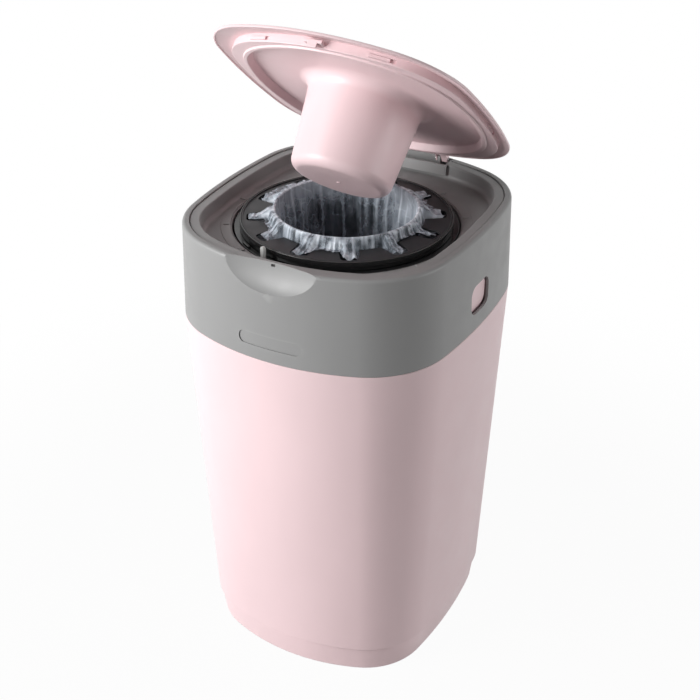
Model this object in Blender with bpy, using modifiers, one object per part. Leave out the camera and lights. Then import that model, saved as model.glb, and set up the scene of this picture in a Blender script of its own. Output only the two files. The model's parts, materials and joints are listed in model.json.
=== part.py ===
"""A nappy bin: a tapered tub, a lift-off top whose turntable holds the film cassette, and a lid with a plunger.

Units are metres and +Z is up.  The origin is the middle of the footprint on the floor, and the front, with its
finger scoop, faces -Y.  The lid is modelled closed, on its hinge, and its empty then swings it open.
"""
from math import atan2, cos, hypot, pi, radians, sin, sqrt

import bmesh
import bpy
from mathutils import Euler, Matrix, Vector

# Overall form: the bin is built round the well of its turntable, with the margins that the rim leaves
well_radius = 0.1012
rim_side_margin = 0.0268
rim_end_margin = 0.0405
tub_height = 0.3416
collar_height = 0.0882
collar_side_spread = 0.0018
collar_end_spread = 0.0020
floor_side_taper = 0.0152
floor_end_taper = 0.0168
side_bulge = 0.0193
end_bulge = 0.0438
rim_corner_radius = 0.0780
floor_corner_radius = 0.0574

# Facets of the outlines: pieces of arc in a quarter of the outline
side_facets = 3
corner_facets = 6
end_facets = 4

# Clearances
gap = 0.0003
edge = 0.0006
overrun = 0.0040
weld_distance = 0.00001

# Tub
tub_wall = 0.0025
tub_floor = 0.0030
foot_height = 0.0240
foot_inset = 0.0020
foot_round = 0.0030
foot_rim_width = 0.0100
foot_recess = 0.0030
floor_fillet = 0.0080
neck_wall = 0.0022
neck_clearance = 0.0006
neck_headroom = 0.0382

# Release tabs in the neck and the collar windows that they show in
window_width = 0.0360
window_height = 0.0255
window_radius = 0.0080
window_centre_height = 0.0302
window_centre_y = -0.0020
tab_margin = 0.0030
tab_thickness = 0.0020
tab_root_height = 0.0105
tab_root_axis = 0.0006
tab_slot_gap = 0.0005
tab_pad_margin = 0.0010
tab_pad_clearance = 0.0006
tab_side_clearance = 0.0012

# Collar
collar_wall = 0.0024
collar_round = 0.0030
collar_round_facets = 3
collar_ring_width = 0.0062
collar_shelf_width = 0.0062
collar_shelf_thickness = 0.0022
collar_haunch = 0.0050

# Finger scoop in the front of the rim, a dish cut by an ellipsoid
scoop_half_width = 0.0600
scoop_half_depth = 0.0190
scoop_half_height = 0.0315
scoop_centre_out = 0.0083
scoop_centre_up = 0.0042
scoop_wall = 0.0022
scoop_facets = 32

# Badge place, left bare
badge_width = 0.0600
badge_height = 0.0115
badge_depth = 0.0007
badge_centre_height = 0.0180

# Deck: lid seat, bowl and turntable well
seat_drop = 0.0010
seat_thickness = 0.0020
seat_width = 0.0074
seat_gap = 0.0006
bowl_wall_slope = 0.0010
bowl_wall = 0.0020
bowl_depth = 0.0148
bowl_fillet = 0.0042
deck_fall = 0.0007
well_depth = 0.0180
well_ledge = 0.0055
well_ledge_thickness = 0.0020
well_wall = 0.0020

# Hinge
hinge_inset = 0.0092
hinge_rise = 0.0002
lid_open_angle = 39.88
lug_x = 0.0312
lug_width = 0.0060
lug_radius = 0.0032
lug_reach = 0.0090
lug_web_low = 0.0014
lug_web_high = 0.0045
pin_radius = 0.0016
pin_clearance = 0.0003
pin_overhang = 0.0010
bracket_width = 0.0053
bracket_radius = 0.0036
lug_side_clearance = 0.0004
pocket_half_width = 0.0362
pocket_depth = 0.0068
pocket_floor = 0.0045
pocket_front = 0.0110
pocket_back = 0.0037

# Lid cover
lid_side_margin = 0.0069
lid_front_margin = 0.0026
lid_back_margin = 0.0148
lid_clearance = 0.0005
cover_wall = 0.0022
cover_skirt = 0.0045
cover_rise = 0.0165

# Lid liner with its plunger
liner_side_margin = 0.0174
liner_front_margin = 0.0257
liner_back_margin = 0.0237
liner_wall = 0.0020
liner_wall_height = 0.0126
liner_drop = 0.0022
liner_ring_width = 0.0050
liner_slope = 0.0010
liner_ridge_drop = 0.0036
liner_ridge_width = 0.0026
liner_recess_slope = 0.0024
liner_recess_rise = 0.0026
plunger_clearance = 0.0114
plunger_taper = 0.0068
plunger_depth = 0.0740
plunger_fillet = 0.0120
plunger_foot_fillet = 0.0130
plunger_facets = 3

# Lid latch
latch_width = 0.0160
latch_depth = 0.0066
latch_height = 0.0124
latch_prong_width = 0.0090
latch_prong_thickness = 0.0020
latch_prong_drop = 0.0045
latch_slot_width = 0.0120
latch_slot_height = 0.0030
latch_slot_drop = 0.0030

# Turntable drum and its lock ring
drum_steps = 48
carrier_clearance = 0.0015
carrier_top_drop = 0.0015
carrier_chamfer = 0.0006
carrier_running_gap = 0.0007
carrier_depth = 0.0505
carrier_wall = 0.0017
carrier_floor = 0.0018
carrier_floor_width = 0.0290
grip_count = 2
grip_angle = -123.0
grip_length = 0.0110
grip_width = 0.0030
grip_height = 0.0022
lock_ring_width = 0.0044
lock_ring_height = 0.0034
lock_tooth_count = 24
lock_tooth_height = 0.0014
lock_tooth_shares = (-0.30, 0.30, 0.42, 0.58)

# Click pawl
pawl_angle = -105.0
pawl_margin = 0.0006
pawl_width = 0.0046
pawl_thickness = 0.0031
pawl_top_rise = 0.0114
pawl_travel = 0.0015
pawl_nose_height = 0.0028

# Cassette
cassette_clearance = 0.0019
cassette_wall = 0.0013
cassette_height = 0.0566
cassette_lip_width = 0.0031
cassette_lip_wall = 0.0014
cassette_lip_lift = 0.0005
cassette_channel = 0.0280
tube_wall = 0.0014
tube_rise = 0.0076
plate_drop = 0.0029
plate_thickness = 0.0014
plate_lip_width = 0.0011
plate_ring_width = 0.0032
plate_tab_length = 0.0195
plate_tab_count = 12
plate_gap_width = 0.0150
plate_gap_radius = 0.0040
plate_gap_spread_share = 0.32

# Film pack, a stack of pleats
pack_pleats = 5
pack_pleat_depth = 0.0028
pack_clearance = 0.0012
pack_height = 0.0430
pack_steps = 32

# Film sleeve, from under the plate over the inner tube and down the throat to its knot
film_thickness = 0.0006
film_clearance = 0.0004
film_skirt_margin = 0.0069
film_skirt_drop = 0.0139
film_skirt_width = 0.0165
film_skirt_bend_drop = 0.0012
film_throat_draw = 0.0028
film_throat_drop = 0.0880
film_belly_draw = 0.0074
film_belly_drop = 0.1230
film_waist_share = 0.5205
film_waist_drop = 0.1850
film_neck_radius = 0.0065
film_neck_drop = 0.2100
film_knot_radius = 0.0105
film_knot_drop = 0.2200
film_tail_drop = 0.2300
film_folds = 9
film_steps_per_fold = 6
film_skirt_fold = 0.0007
film_throat_fold_share = 0.012
film_belly_fold_share = 0.050
film_waist_fold_share = 0.160
film_knot_fold_share = 0.100

# Shapes given as shares: how the dome of the cover draws in and rises
dome_outline_shares = (1.0, 0.982, 0.945, 0.87, 0.74, 0.54, 0.30, 0.08)
dome_rise_shares = (0.0, 0.36, 0.60, 0.76, 0.87, 0.95, 0.99, 1.0)

# Colours, read as albedo, with roughness
pink = (0.80, 0.63, 0.645)
grey = (0.245, 0.245, 0.243)
light_grey = (0.50, 0.50, 0.49)
black = (0.012, 0.012, 0.013)
film_white = (0.62, 0.68, 0.76)
steel = (0.56, 0.56, 0.57)

collar_base = tub_height
rim_height = tub_height + collar_height
rim_half_width = well_radius + rim_side_margin
rim_half_depth = well_radius + rim_end_margin
collar_base_half_width = rim_half_width + collar_side_spread
collar_base_half_depth = rim_half_depth + collar_end_spread
floor_half_width = collar_base_half_width - floor_side_taper
floor_half_depth = collar_base_half_depth - floor_end_taper
neck_height = collar_height - neck_headroom
hinge_y = rim_half_depth - hinge_inset
hinge_height = rim_height + hinge_rise
lid_plane = rim_height + lid_clearance
lid_half_width = rim_half_width - lid_side_margin
lid_half_depth = rim_half_depth - (lid_front_margin + lid_back_margin) / 2
lid_centre_y = (lid_front_margin - lid_back_margin) / 2
well_centre_y = lid_centre_y
liner_half_width = rim_half_width - liner_side_margin
liner_half_depth = rim_half_depth - (liner_front_margin + liner_back_margin) / 2
liner_centre_y = (liner_front_margin - liner_back_margin) / 2
seat_top = rim_height - seat_drop
seat_outer = collar_ring_width + seat_gap
seat_inner = seat_outer + seat_width
deck_height = rim_height - bowl_depth
carrier_radius = well_radius - carrier_clearance
carrier_top = deck_height - carrier_top_drop
carrier_base = carrier_top - carrier_depth
ledge_top = deck_height - well_depth
drum_radius = well_radius - well_ledge - carrier_running_gap
drum_inner = drum_radius - carrier_wall
cassette_radius = drum_inner - cassette_clearance
cassette_lip = cassette_radius + cassette_lip_width
cassette_base = carrier_base + carrier_floor + gap
cassette_top = cassette_base + cassette_height
tube_radius = cassette_radius - cassette_channel
tube_top = cassette_top + tube_rise
plate_seat = cassette_top - plate_drop
plate_base = plate_seat + gap
film_top = tube_top + film_clearance + film_thickness
film_skirt_radius = cassette_radius - film_skirt_margin
film_skirt_bend_radius = film_skirt_radius - film_skirt_width
film_throat_radius = tube_radius - film_throat_draw
film_belly_radius = tube_radius - film_belly_draw
film_waist_radius = tube_radius * film_waist_share
plunger_radius = tube_radius - plunger_clearance
plunger_foot_radius = plunger_radius - plunger_taper
pawl_radius = well_radius + pawl_margin


def clear_scene():
    """Remove every object that the file already holds."""
    for item in list(bpy.data.objects):
        bpy.data.objects.remove(item, do_unlink=True)


def new_collection(name):
    collection = bpy.data.collections.new(name)
    bpy.context.scene.collection.children.link(collection)
    return collection


def new_material(name, colour, roughness, metallic=0.0, alpha=1.0):
    material = bpy.data.materials.new(name)
    material.use_nodes = True
    shader = material.node_tree.nodes["Principled BSDF"]
    shader.inputs["Base Color"].default_value = (*colour, 1.0)
    shader.inputs["Roughness"].default_value = roughness
    shader.inputs["Metallic"].default_value = metallic
    shader.inputs["Alpha"].default_value = alpha
    return material


class Outline:
    """A rounded rectangle whose four sides bulge outwards, centred on x = 0."""

    def __init__(self, half_width, half_depth, bulge_x, bulge_y, corner_radius, centre_y=0.0):
        self.centre_y = centre_y
        self.side_radius = (half_depth ** 2 + bulge_x ** 2) / (2 * bulge_x)
        self.end_radius = (half_width ** 2 + bulge_y ** 2) / (2 * bulge_y)
        self.side_x = half_width - self.side_radius
        self.end_y = half_depth - self.end_radius
        self.corner_radius = corner_radius
        self.corner = self.find_corner()

    def find_corner(self):
        """The centre of the corner arc, which touches the side arc and the end arc from inside."""
        side_reach = self.side_radius - self.corner_radius
        end_reach = self.end_radius - self.corner_radius
        span = hypot(self.side_x, self.end_y)
        along = (side_reach ** 2 - end_reach ** 2 + span ** 2) / (2 * span)
        across = sqrt(max(side_reach ** 2 - along ** 2, 0))
        step = Vector((-self.side_x, self.end_y)) / span
        foot = Vector((self.side_x, 0)) + step * along
        normal = Vector((-step.y, step.x)) * across
        return max(foot + normal, foot - normal, key=lambda point: point.x + point.y)

    def quarter(self, inset):
        """Points from the +X side round the corner to the +Y end."""
        side_turn = atan2(self.corner.y, self.corner.x - self.side_x)
        end_turn = atan2(self.corner.y - self.end_y, self.corner.x)
        arcs = (
            (Vector((self.side_x, 0)), self.side_radius, 0.0, side_turn, side_facets),
            (self.corner, self.corner_radius, side_turn, end_turn, corner_facets),
            (Vector((0, self.end_y)), self.end_radius, end_turn, pi / 2, end_facets),
        )
        points = []
        for centre, radius, start, stop, facets in arcs:
            for index in range(facets):
                turn = start + (stop - start) * index / facets
                points.append(centre + Vector((cos(turn), sin(turn))) * (radius - inset))
        points.append(Vector((0, self.end_y + self.end_radius - inset)))
        return points

    def ring(self, z, inset=0.0, share=1.0):
        """The whole outline at one height, drawn in by an inset and then by a share about its centre."""
        quarter = self.quarter(inset)
        last = len(quarter) - 1
        corners = quarter[:last]
        corners += [Vector((-p.x, p.y)) for p in reversed(quarter[1:])]
        corners += [-p for p in quarter[:last]]
        corners += [Vector((p.x, -p.y)) for p in reversed(quarter[1:])]
        return [Vector((p.x * share, p.y * share + self.centre_y, z)) for p in corners]


def mix(low, high, share):
    return low + (high - low) * share


def body_outline(z):
    """The bin's outer outline at a height: it widens from the floor to the collar and closes a little above."""
    if z < collar_base:
        share = z / collar_base
        half_width = mix(floor_half_width, collar_base_half_width, share)
        half_depth = mix(floor_half_depth, collar_base_half_depth, share)
        corner = mix(floor_corner_radius, rim_corner_radius, share)
    else:
        share = (z - collar_base) / (rim_height - collar_base)
        half_width = mix(collar_base_half_width, rim_half_width, share)
        half_depth = mix(collar_base_half_depth, rim_half_depth, share)
        corner = rim_corner_radius
    scale_share = half_width / rim_half_width
    return Outline(half_width, half_depth, side_bulge * scale_share, end_bulge * scale_share, corner)


def body_ring(z, inset=0.0):
    return body_outline(z).ring(z, inset)


def circle_like(ring, radius, z, centre_y=0.0):
    """A circle with one point for each point of a ring, at the same bearing."""
    points = []
    for point in ring:
        turn = atan2(point.y - centre_y, point.x)
        points.append(Vector((radius * cos(turn), centre_y + radius * sin(turn), z)))
    return points


def arc(centre, radius, start, stop, facets):
    """Points of an arc in a profile's plane, both ends included, with its bearings in degrees."""
    turns = [radians(mix(start, stop, index / facets)) for index in range(facets + 1)]
    return [(centre[0] + radius * cos(turn), centre[1] + radius * sin(turn)) for turn in turns]


def link(name, mesh, collection, material=None, pivot=None, parent=None):
    """Make an object of a mesh; its origin, or its parent's, stands at the pivot."""
    thing = bpy.data.objects.new(name, mesh)
    collection.objects.link(thing)
    if pivot is not None:
        mesh.transform(Matrix.Translation(-Vector(pivot)))
        if parent is None:
            thing.location = pivot
    if parent is not None:
        thing.parent = parent
    if material is not None:
        mesh.materials.append(material)
        mesh.shade_smooth()
        mesh.set_sharp_from_angle(angle=radians(32))
    else:
        thing.hide_render = True
        thing.display_type = 'WIRE'
    return thing


def loft(rings, closed=False):
    """A solid skin through rings of equal count: a closed loop of rings, or capped at both ends."""
    work = bmesh.new()
    rows = [[work.verts.new(point) for point in ring] for ring in rings]
    pairs = list(zip(rows, rows[1:]))
    if closed:
        pairs.append((rows[-1], rows[0]))
    for low, high in pairs:
        for index in range(len(low)):
            after = (index + 1) % len(low)
            work.faces.new((low[index], low[after], high[after], high[index]))
    if not closed:
        work.faces.new(rows[0])
        work.faces.new(rows[-1])
    bmesh.ops.recalc_face_normals(work, faces=work.faces)
    mesh = bpy.data.meshes.new("loft")
    work.to_mesh(mesh)
    work.free()
    return mesh


def turned(profile, steps):
    """A closed profile of (radius, height) points, outer side first and downwards, turned about Z."""
    work = bmesh.new()
    points = [work.verts.new((radius, 0, z)) for radius, z in profile]
    for index, point in enumerate(points):
        work.edges.new((point, points[(index + 1) % len(points)]))
    mesh = bpy.data.meshes.new("profile")
    work.to_mesh(mesh)
    work.free()
    thing = link("profile", mesh, cutters)
    screw = thing.modifiers.new("Turn", 'SCREW')
    screw.axis = 'Z'
    screw.angle = 2 * pi
    screw.steps = steps
    screw.render_steps = steps
    screw.use_merge_vertices = True
    screw.merge_threshold = weld_distance
    return evaluated_mesh(thing)


def evaluated_mesh(thing):
    """Bake an object's modifiers or curve to a welded mesh in world space, and remove the object."""
    bpy.context.view_layer.update()
    graph = bpy.context.evaluated_depsgraph_get()
    mesh = bpy.data.meshes.new_from_object(thing.evaluated_get(graph))
    mesh.transform(thing.matrix_world)
    work = bmesh.new()
    work.from_mesh(mesh)
    bmesh.ops.remove_doubles(work, verts=work.verts, dist=weld_distance)
    bmesh.ops.recalc_face_normals(work, faces=work.faces)
    work.to_mesh(mesh)
    work.free()
    bpy.data.objects.remove(thing, do_unlink=True)
    mesh.materials.clear()
    return mesh


def box(low, high):
    """A box between two corners."""
    work = bmesh.new()
    bmesh.ops.create_cube(work, size=1)
    size = Vector(high) - Vector(low)
    bmesh.ops.scale(work, vec=size, verts=work.verts)
    bmesh.ops.translate(work, vec=(Vector(low) + Vector(high)) / 2, verts=work.verts)
    mesh = bpy.data.meshes.new("box")
    work.to_mesh(mesh)
    work.free()
    return mesh


def rod(radius, start, end, facets=16):
    """A round bar between two points."""
    work = bmesh.new()
    along = Vector(end) - Vector(start)
    bmesh.ops.create_cone(work, cap_ends=True, segments=facets, radius1=radius, radius2=radius,
                          depth=along.length)
    turn = Vector((0, 0, 1)).rotation_difference(along).to_matrix().to_4x4()
    place = Matrix.Translation((Vector(start) + Vector(end)) / 2) @ turn
    bmesh.ops.transform(work, matrix=place, verts=work.verts)
    mesh = bpy.data.meshes.new("rod")
    work.to_mesh(mesh)
    work.free()
    return mesh


def ellipsoid(centre, half_size):
    work = bmesh.new()
    bmesh.ops.create_uvsphere(work, u_segments=scoop_facets, v_segments=scoop_facets // 2, radius=1)
    bmesh.ops.scale(work, vec=half_size, verts=work.verts)
    bmesh.ops.translate(work, vec=centre, verts=work.verts)
    mesh = bpy.data.meshes.new("ellipsoid")
    work.to_mesh(mesh)
    work.free()
    return mesh


def rounded_rectangle(width, height, radius, facets=4):
    """Points of a rounded rectangle about its centre."""
    points = []
    for turn, across, up in ((0, 1, 1), (90, -1, 1), (180, -1, -1), (270, 1, -1)):
        centre = (across * (width / 2 - radius), up * (height / 2 - radius))
        points += arc(centre, radius, turn, turn + 90, facets)
    return points


def flat_piece(points, thickness, place):
    """A flat outline filled on both faces and given a thickness, moved by a matrix."""
    curve = bpy.data.curves.new("outline", 'CURVE')
    curve.dimensions = '2D'
    curve.fill_mode = 'BOTH'
    curve.extrude = thickness / 2
    spline = curve.splines.new('POLY')
    spline.points.add(len(points) - 1)
    for target, (across, up) in zip(spline.points, points):
        target.co = (across, up, 0, 1)
    spline.use_cyclic_u = True
    thing = bpy.data.objects.new("outline", curve)
    cutters.objects.link(thing)
    thing.matrix_world = place
    return evaluated_mesh(thing)


def facing_x(x, y, z):
    """A matrix that stands a flat piece square to X, its width along Y and its height along Z."""
    return Matrix.Translation((x, y, z)) @ Euler((pi / 2, 0, pi / 2)).to_matrix().to_4x4()


def facing_y(x, y, z):
    """A matrix that stands a flat piece square to Y, its width along X and its height along Z."""
    return Matrix.Translation((x, y, z)) @ Euler((pi / 2, 0, 0)).to_matrix().to_4x4()


def combine(target, mesh, operation):
    """Join a mesh to an object, or cut it away, or keep what both hold."""
    cutter = link(target.name + "_" + operation.lower(), mesh, cutters)
    cutter.parent = target.parent
    cutter.location = target.location
    modifier = target.modifiers.new(operation.title(), 'BOOLEAN')
    modifier.operation = operation
    modifier.solver = 'EXACT'
    modifier.object = cutter


def shifted(mesh, pivot):
    mesh.transform(Matrix.Translation(-Vector(pivot)))
    return mesh


def drawn_in(z, inset, half_depth=False):
    """How far the bin's surface, drawn in by an inset, stands from the axis at x = 0 or at y = 0."""
    outline = body_outline(z)
    if half_depth:
        return outline.end_y + outline.end_radius - inset
    return outline.side_x + outline.side_radius - inset


def build_tub():
    neck_inset = collar_wall + neck_clearance
    neck_inner = neck_inset + neck_wall
    shoulder = collar_base - gap
    floor_top = foot_recess + tub_floor
    floor_inset = foot_inset + tub_wall
    foot = [(foot_inset + foot_rim_width, foot_recess), (foot_inset + foot_rim_width, 0)]
    foot += arc((foot_inset + foot_round, foot_round), foot_round, 270, 180, 2)
    foot += [(foot_inset, foot_height - foot_inset), (0, foot_height), (0, shoulder - edge), (edge, shoulder)]
    neck = [(neck_inset, shoulder), (neck_inset, shoulder + neck_height),
            (neck_inner, shoulder + neck_height), (neck_inner, shoulder - tub_wall)]
    inside = [(tub_wall, shoulder - tub_wall - neck_inner), (tub_wall, foot_height + tub_wall)]
    inside += arc((floor_inset + floor_fillet, floor_top + floor_fillet), floor_fillet, 180, 270, 2)
    rings = [body_ring(z, inset) for inset, z in foot + neck + inside]
    tub = link("tub", loft(rings), parts, pink_plastic)
    for side in (1, -1):
        wall = drawn_in(shoulder, neck_inner)
        low = Vector((wall - neck_wall - overrun, tab_low_y() - tab_slot_gap, tab_bottom() - gap))
        high = Vector((collar_base_half_width, tab_high_y() + tab_slot_gap, shoulder + neck_height + overrun))
        slot = box(low, high)
        if side < 0:
            slot = mirrored(slot)
        combine(tub, slot, 'DIFFERENCE')
    return tub


def mirrored(mesh):
    """A mesh reflected in the plane x = 0, still facing outwards."""
    mesh.transform(Matrix.Diagonal((-1, 1, 1, 1)))
    mesh.flip_normals()
    return mesh


def tab_low_y():
    return window_centre_y - window_width / 2 - tab_margin


def tab_high_y():
    return window_centre_y + window_width / 2 + tab_margin


def tab_bottom():
    return collar_base + tab_root_height


def tab_face():
    """Where the pad's face stands: just inside the collar's wall at the window's ends."""
    z = collar_base + window_centre_height
    wall = body_outline(z)
    reach = max(abs(tab_low_y()), abs(tab_high_y()))
    turn_x = sqrt((wall.side_radius - collar_wall) ** 2 - reach ** 2)
    return wall.side_x + turn_x - tab_pad_clearance


def build_release_tab(name, side):
    """A sprung tab that stands in a slot of the neck and shows its pad in the collar's window."""
    top = collar_base + neck_height
    outer = tab_face() - tab_side_clearance
    inner = outer - tab_thickness
    centre_z = collar_base + window_centre_height
    blade = box((inner, tab_low_y(), tab_bottom()), (outer, tab_high_y(), top - gap))
    pad_thickness = tab_side_clearance + tab_thickness / 2
    pad_outline = rounded_rectangle(window_width - 2 * tab_pad_margin, window_height - 2 * tab_pad_margin,
                                    window_radius - tab_pad_margin)
    pad = flat_piece(pad_outline, pad_thickness,
                     facing_x(tab_face() - pad_thickness / 2, window_centre_y, centre_z))
    pivot = Vector((inner + tab_thickness / 2, 0, tab_bottom() + tab_root_axis))
    if side < 0:
        blade = mirrored(blade)
        pad = mirrored(pad)
        pivot.x = -pivot.x
    tab = link(name, blade, parts, pink_plastic, pivot)
    combine(tab, shifted(pad, pivot), 'UNION')
    return tab


def scoop_mesh(grow=0.0):
    """The scoop's ellipsoid, grown on every side by a length."""
    centre = (0, -drawn_in(rim_height, 0, half_depth=True) - scoop_centre_out, rim_height + scoop_centre_up)
    size = (scoop_half_width + grow, scoop_half_depth + grow, scoop_half_height + grow)
    return ellipsoid(centre, size)


def collar_outside(inset, base):
    """Rings of the collar's outer face, from a base height up over the rounded top edge."""
    rings = [body_ring(base, inset)]
    for across, up in arc((collar_round, rim_height - collar_round), collar_round, 180, 90,
                          collar_round_facets):
        rings.append(body_ring(up - inset, across + inset))
    return rings


def build_collar():
    shelf_top = seat_top - seat_thickness - gap
    shelf_edge = collar_ring_width + collar_shelf_width
    under_shelf = shelf_top - collar_shelf_thickness
    rings = collar_outside(0, collar_base)
    inside = [(collar_ring_width, rim_height), (collar_ring_width, shelf_top), (shelf_edge, shelf_top),
              (shelf_edge, under_shelf), (collar_wall + collar_haunch, under_shelf),
              (collar_wall, under_shelf - collar_haunch), (collar_wall, collar_base)]
    rings += [body_ring(z, inset) for inset, z in inside]
    collar = link("collar", loft(rings, closed=True), parts, grey_plastic)

    backing = link("scoop_backing", scoop_mesh(scoop_wall), cutters)
    hidden_inset = edge / 2
    keep = loft(collar_outside(hidden_inset, collar_base + neck_height + gap))
    combine(backing, keep, 'INTERSECT')
    combine(collar, evaluated_mesh(backing), 'UNION')
    combine(collar, scoop_mesh(), 'DIFFERENCE')

    window = rounded_rectangle(window_width, window_height, window_radius)
    length = collar_wall + 2 * overrun
    for side in (1, -1):
        place = facing_x(side * collar_base_half_width, window_centre_y, collar_base + window_centre_height)
        combine(collar, flat_piece(window, length, place), 'DIFFERENCE')

    combine(collar, badge_cutter(), 'DIFFERENCE')
    low, high = hinge_pocket_block(gap)
    combine(collar, box(low, high + Vector((0, 0, overrun))), 'DIFFERENCE')
    return collar


def badge_cutter():
    """A slab that follows the collar's curved front and is as thick as the badge place is deep."""
    front = -drawn_in(rim_height, 0, half_depth=True)
    outline = rounded_rectangle(badge_width, badge_height, badge_height / 2 - edge)
    length = end_bulge
    slab = link("badge_slab", flat_piece(outline, length, facing_y(0, front, collar_base + badge_centre_height)),
                cutters)
    low = collar_base - overrun
    core = loft([body_ring(low, badge_depth), body_ring(rim_height, badge_depth)])
    combine(slab, core, 'DIFFERENCE')
    return evaluated_mesh(slab)


def hinge_pocket_block(grow=0.0):
    """The corners of the block behind the deck that the lid's lugs turn in."""
    low = Vector((-pocket_half_width - bowl_wall - grow, hinge_y - pocket_front - bowl_wall - grow,
                  hinge_height - pocket_depth - pocket_floor - grow))
    high = Vector((pocket_half_width + bowl_wall + grow, hinge_y + pocket_back + grow, seat_top + grow))
    return low, high


def build_deck():
    underside = seat_top - seat_thickness
    wall_inset = seat_inner + 2 * edge
    low_wall = wall_inset + bowl_wall_slope
    thickness = bowl_wall
    outer = [(seat_outer, underside), (seat_outer, seat_top - edge), (seat_outer + edge, seat_top),
             (seat_inner, seat_top), (wall_inset - edge, seat_top - edge),
             (low_wall, deck_height + bowl_fillet)]
    outer += arc((low_wall + bowl_fillet, deck_height + bowl_fillet), bowl_fillet, 225, 270, 1)
    rings = [body_ring(z, inset) for inset, z in outer]
    guide = rings[0]
    skirt = well_radius + well_wall
    bore = well_radius - well_ledge
    fall = deck_height - deck_fall
    for radius, z in ((well_radius + edge, fall), (well_radius, fall - edge), (well_radius, ledge_top),
                      (bore, ledge_top), (bore, ledge_top - well_ledge_thickness),
                      (skirt, ledge_top - well_ledge_thickness), (skirt, fall - thickness)):
        rings.append(circle_like(guide, radius, z, well_centre_y))
    under = [(low_wall + bowl_fillet, deck_height - thickness), (low_wall - thickness / 2, deck_height + edge),
             (low_wall - thickness, deck_height + bowl_fillet), (wall_inset - thickness, underside)]
    rings += [body_ring(z, inset) for inset, z in under]
    deck = link("deck", loft(rings, closed=True), parts, grey_plastic)
    combine(deck, scoop_mesh(scoop_wall + gap), 'DIFFERENCE')

    low, high = hinge_pocket_block()
    combine(deck, box(low, high), 'UNION')
    pocket_low = Vector((-pocket_half_width, hinge_y - pocket_front, hinge_height - pocket_depth))
    pocket_high = Vector((pocket_half_width, high.y + overrun, high.z + overrun))
    combine(deck, box(pocket_low, pocket_high), 'DIFFERENCE')
    for side in (1, -1):
        combine(deck, hinge_bracket(side), 'UNION')

    slot_outline = rounded_rectangle(pawl_thickness + pawl_travel + 2 * gap, pawl_width + 2 * gap, gap, 1)
    slot_depth = well_depth + well_ledge_thickness + 2 * overrun
    slot = flat_piece(slot_outline, slot_depth,
                      pawl_frame() @ Matrix.Translation((pawl_travel / 2, 0, overrun - slot_depth / 2)))
    combine(deck, slot, 'DIFFERENCE')
    front = -drawn_in(seat_top, wall_inset, half_depth=True)
    slot_low = Vector((-latch_slot_width / 2, front - overrun / 2, seat_top - latch_slot_drop - latch_slot_height))
    slot_high = Vector((latch_slot_width / 2, front + overrun, seat_top - latch_slot_drop))
    combine(deck, box(slot_low, slot_high), 'DIFFERENCE')
    return deck


def bracket_x():
    """The bracket's two sides, just inboard of the lug."""
    outer = lug_x - lug_width / 2 - lug_side_clearance
    return outer - bracket_width, outer


def hinge_bracket(side):
    """An ear on the pocket's floor with a round top about the hinge's axis."""
    inner, outer = bracket_x()
    foot = hinge_height - pocket_depth - edge
    points = arc((hinge_y, hinge_height), bracket_radius, 0, 180, 6)
    points += [(hinge_y - bracket_radius, foot), (hinge_y + bracket_radius, foot)]
    ear = flat_piece(points, outer - inner, facing_x(side * (inner + outer) / 2, 0, 0))
    bore = rod(pin_radius, (side * (inner - overrun), hinge_y, hinge_height),
               (side * (outer + overrun), hinge_y, hinge_height))
    grown = link("ear", ear, cutters)
    bore.transform(Matrix.Translation((0, -hinge_y, -hinge_height)))
    bore.transform(Matrix.Diagonal((1, 1 + pin_clearance / pin_radius, 1 + pin_clearance / pin_radius, 1)))
    bore.transform(Matrix.Translation((0, hinge_y, hinge_height)))
    combine(grown, bore, 'DIFFERENCE')
    return evaluated_mesh(grown)


def build_hinge_pin(name, side):
    inner, outer = bracket_x()
    start = (side * (inner - pin_overhang), hinge_y, hinge_height)
    end = (side * (lug_x + lug_width / 2 + pin_overhang), hinge_y, hinge_height)
    return link(name, rod(pin_radius, start, end), parts, steel_metal)


def pawl_frame():
    """A matrix at the pawl's place on the deck, X pointing away from the turntable's axis."""
    turn = Matrix.Rotation(radians(pawl_angle), 4, 'Z')
    return Matrix.Translation((0, well_centre_y, deck_height)) @ turn @ Matrix.Translation((pawl_radius, 0, 0))


def build_click_pawl():
    """A post with a rounded head that stands in a slot at the well's edge, with a nose between two teeth."""
    foot = lock_ring_top() - lock_ring_height + edge - deck_height
    head = pawl_top_rise - pawl_width / 2
    outline = arc((0, head), pawl_width / 2, 0, 180, 6)
    outline += [(-pawl_width / 2, foot), (pawl_width / 2, foot)]
    post = flat_piece(outline, pawl_thickness, pawl_frame() @ facing_x(0, 0, 0))
    pivot = pawl_frame().translation
    pawl = link("click_pawl", post, parts, light_grey_plastic, pivot)
    tip = lock_tip_radius() - lock_tooth_height + gap
    nose = box((tip - pawl_radius, -pawl_width / 4, foot), (0, pawl_width / 4, foot + pawl_nose_height))
    nose.transform(pawl_frame())
    combine(pawl, shifted(nose, pivot), 'UNION')
    return pawl


def lock_ring_top():
    return ledge_top - well_ledge_thickness - gap


def lock_tip_radius():
    return drum_radius + gap + lock_ring_width


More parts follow.
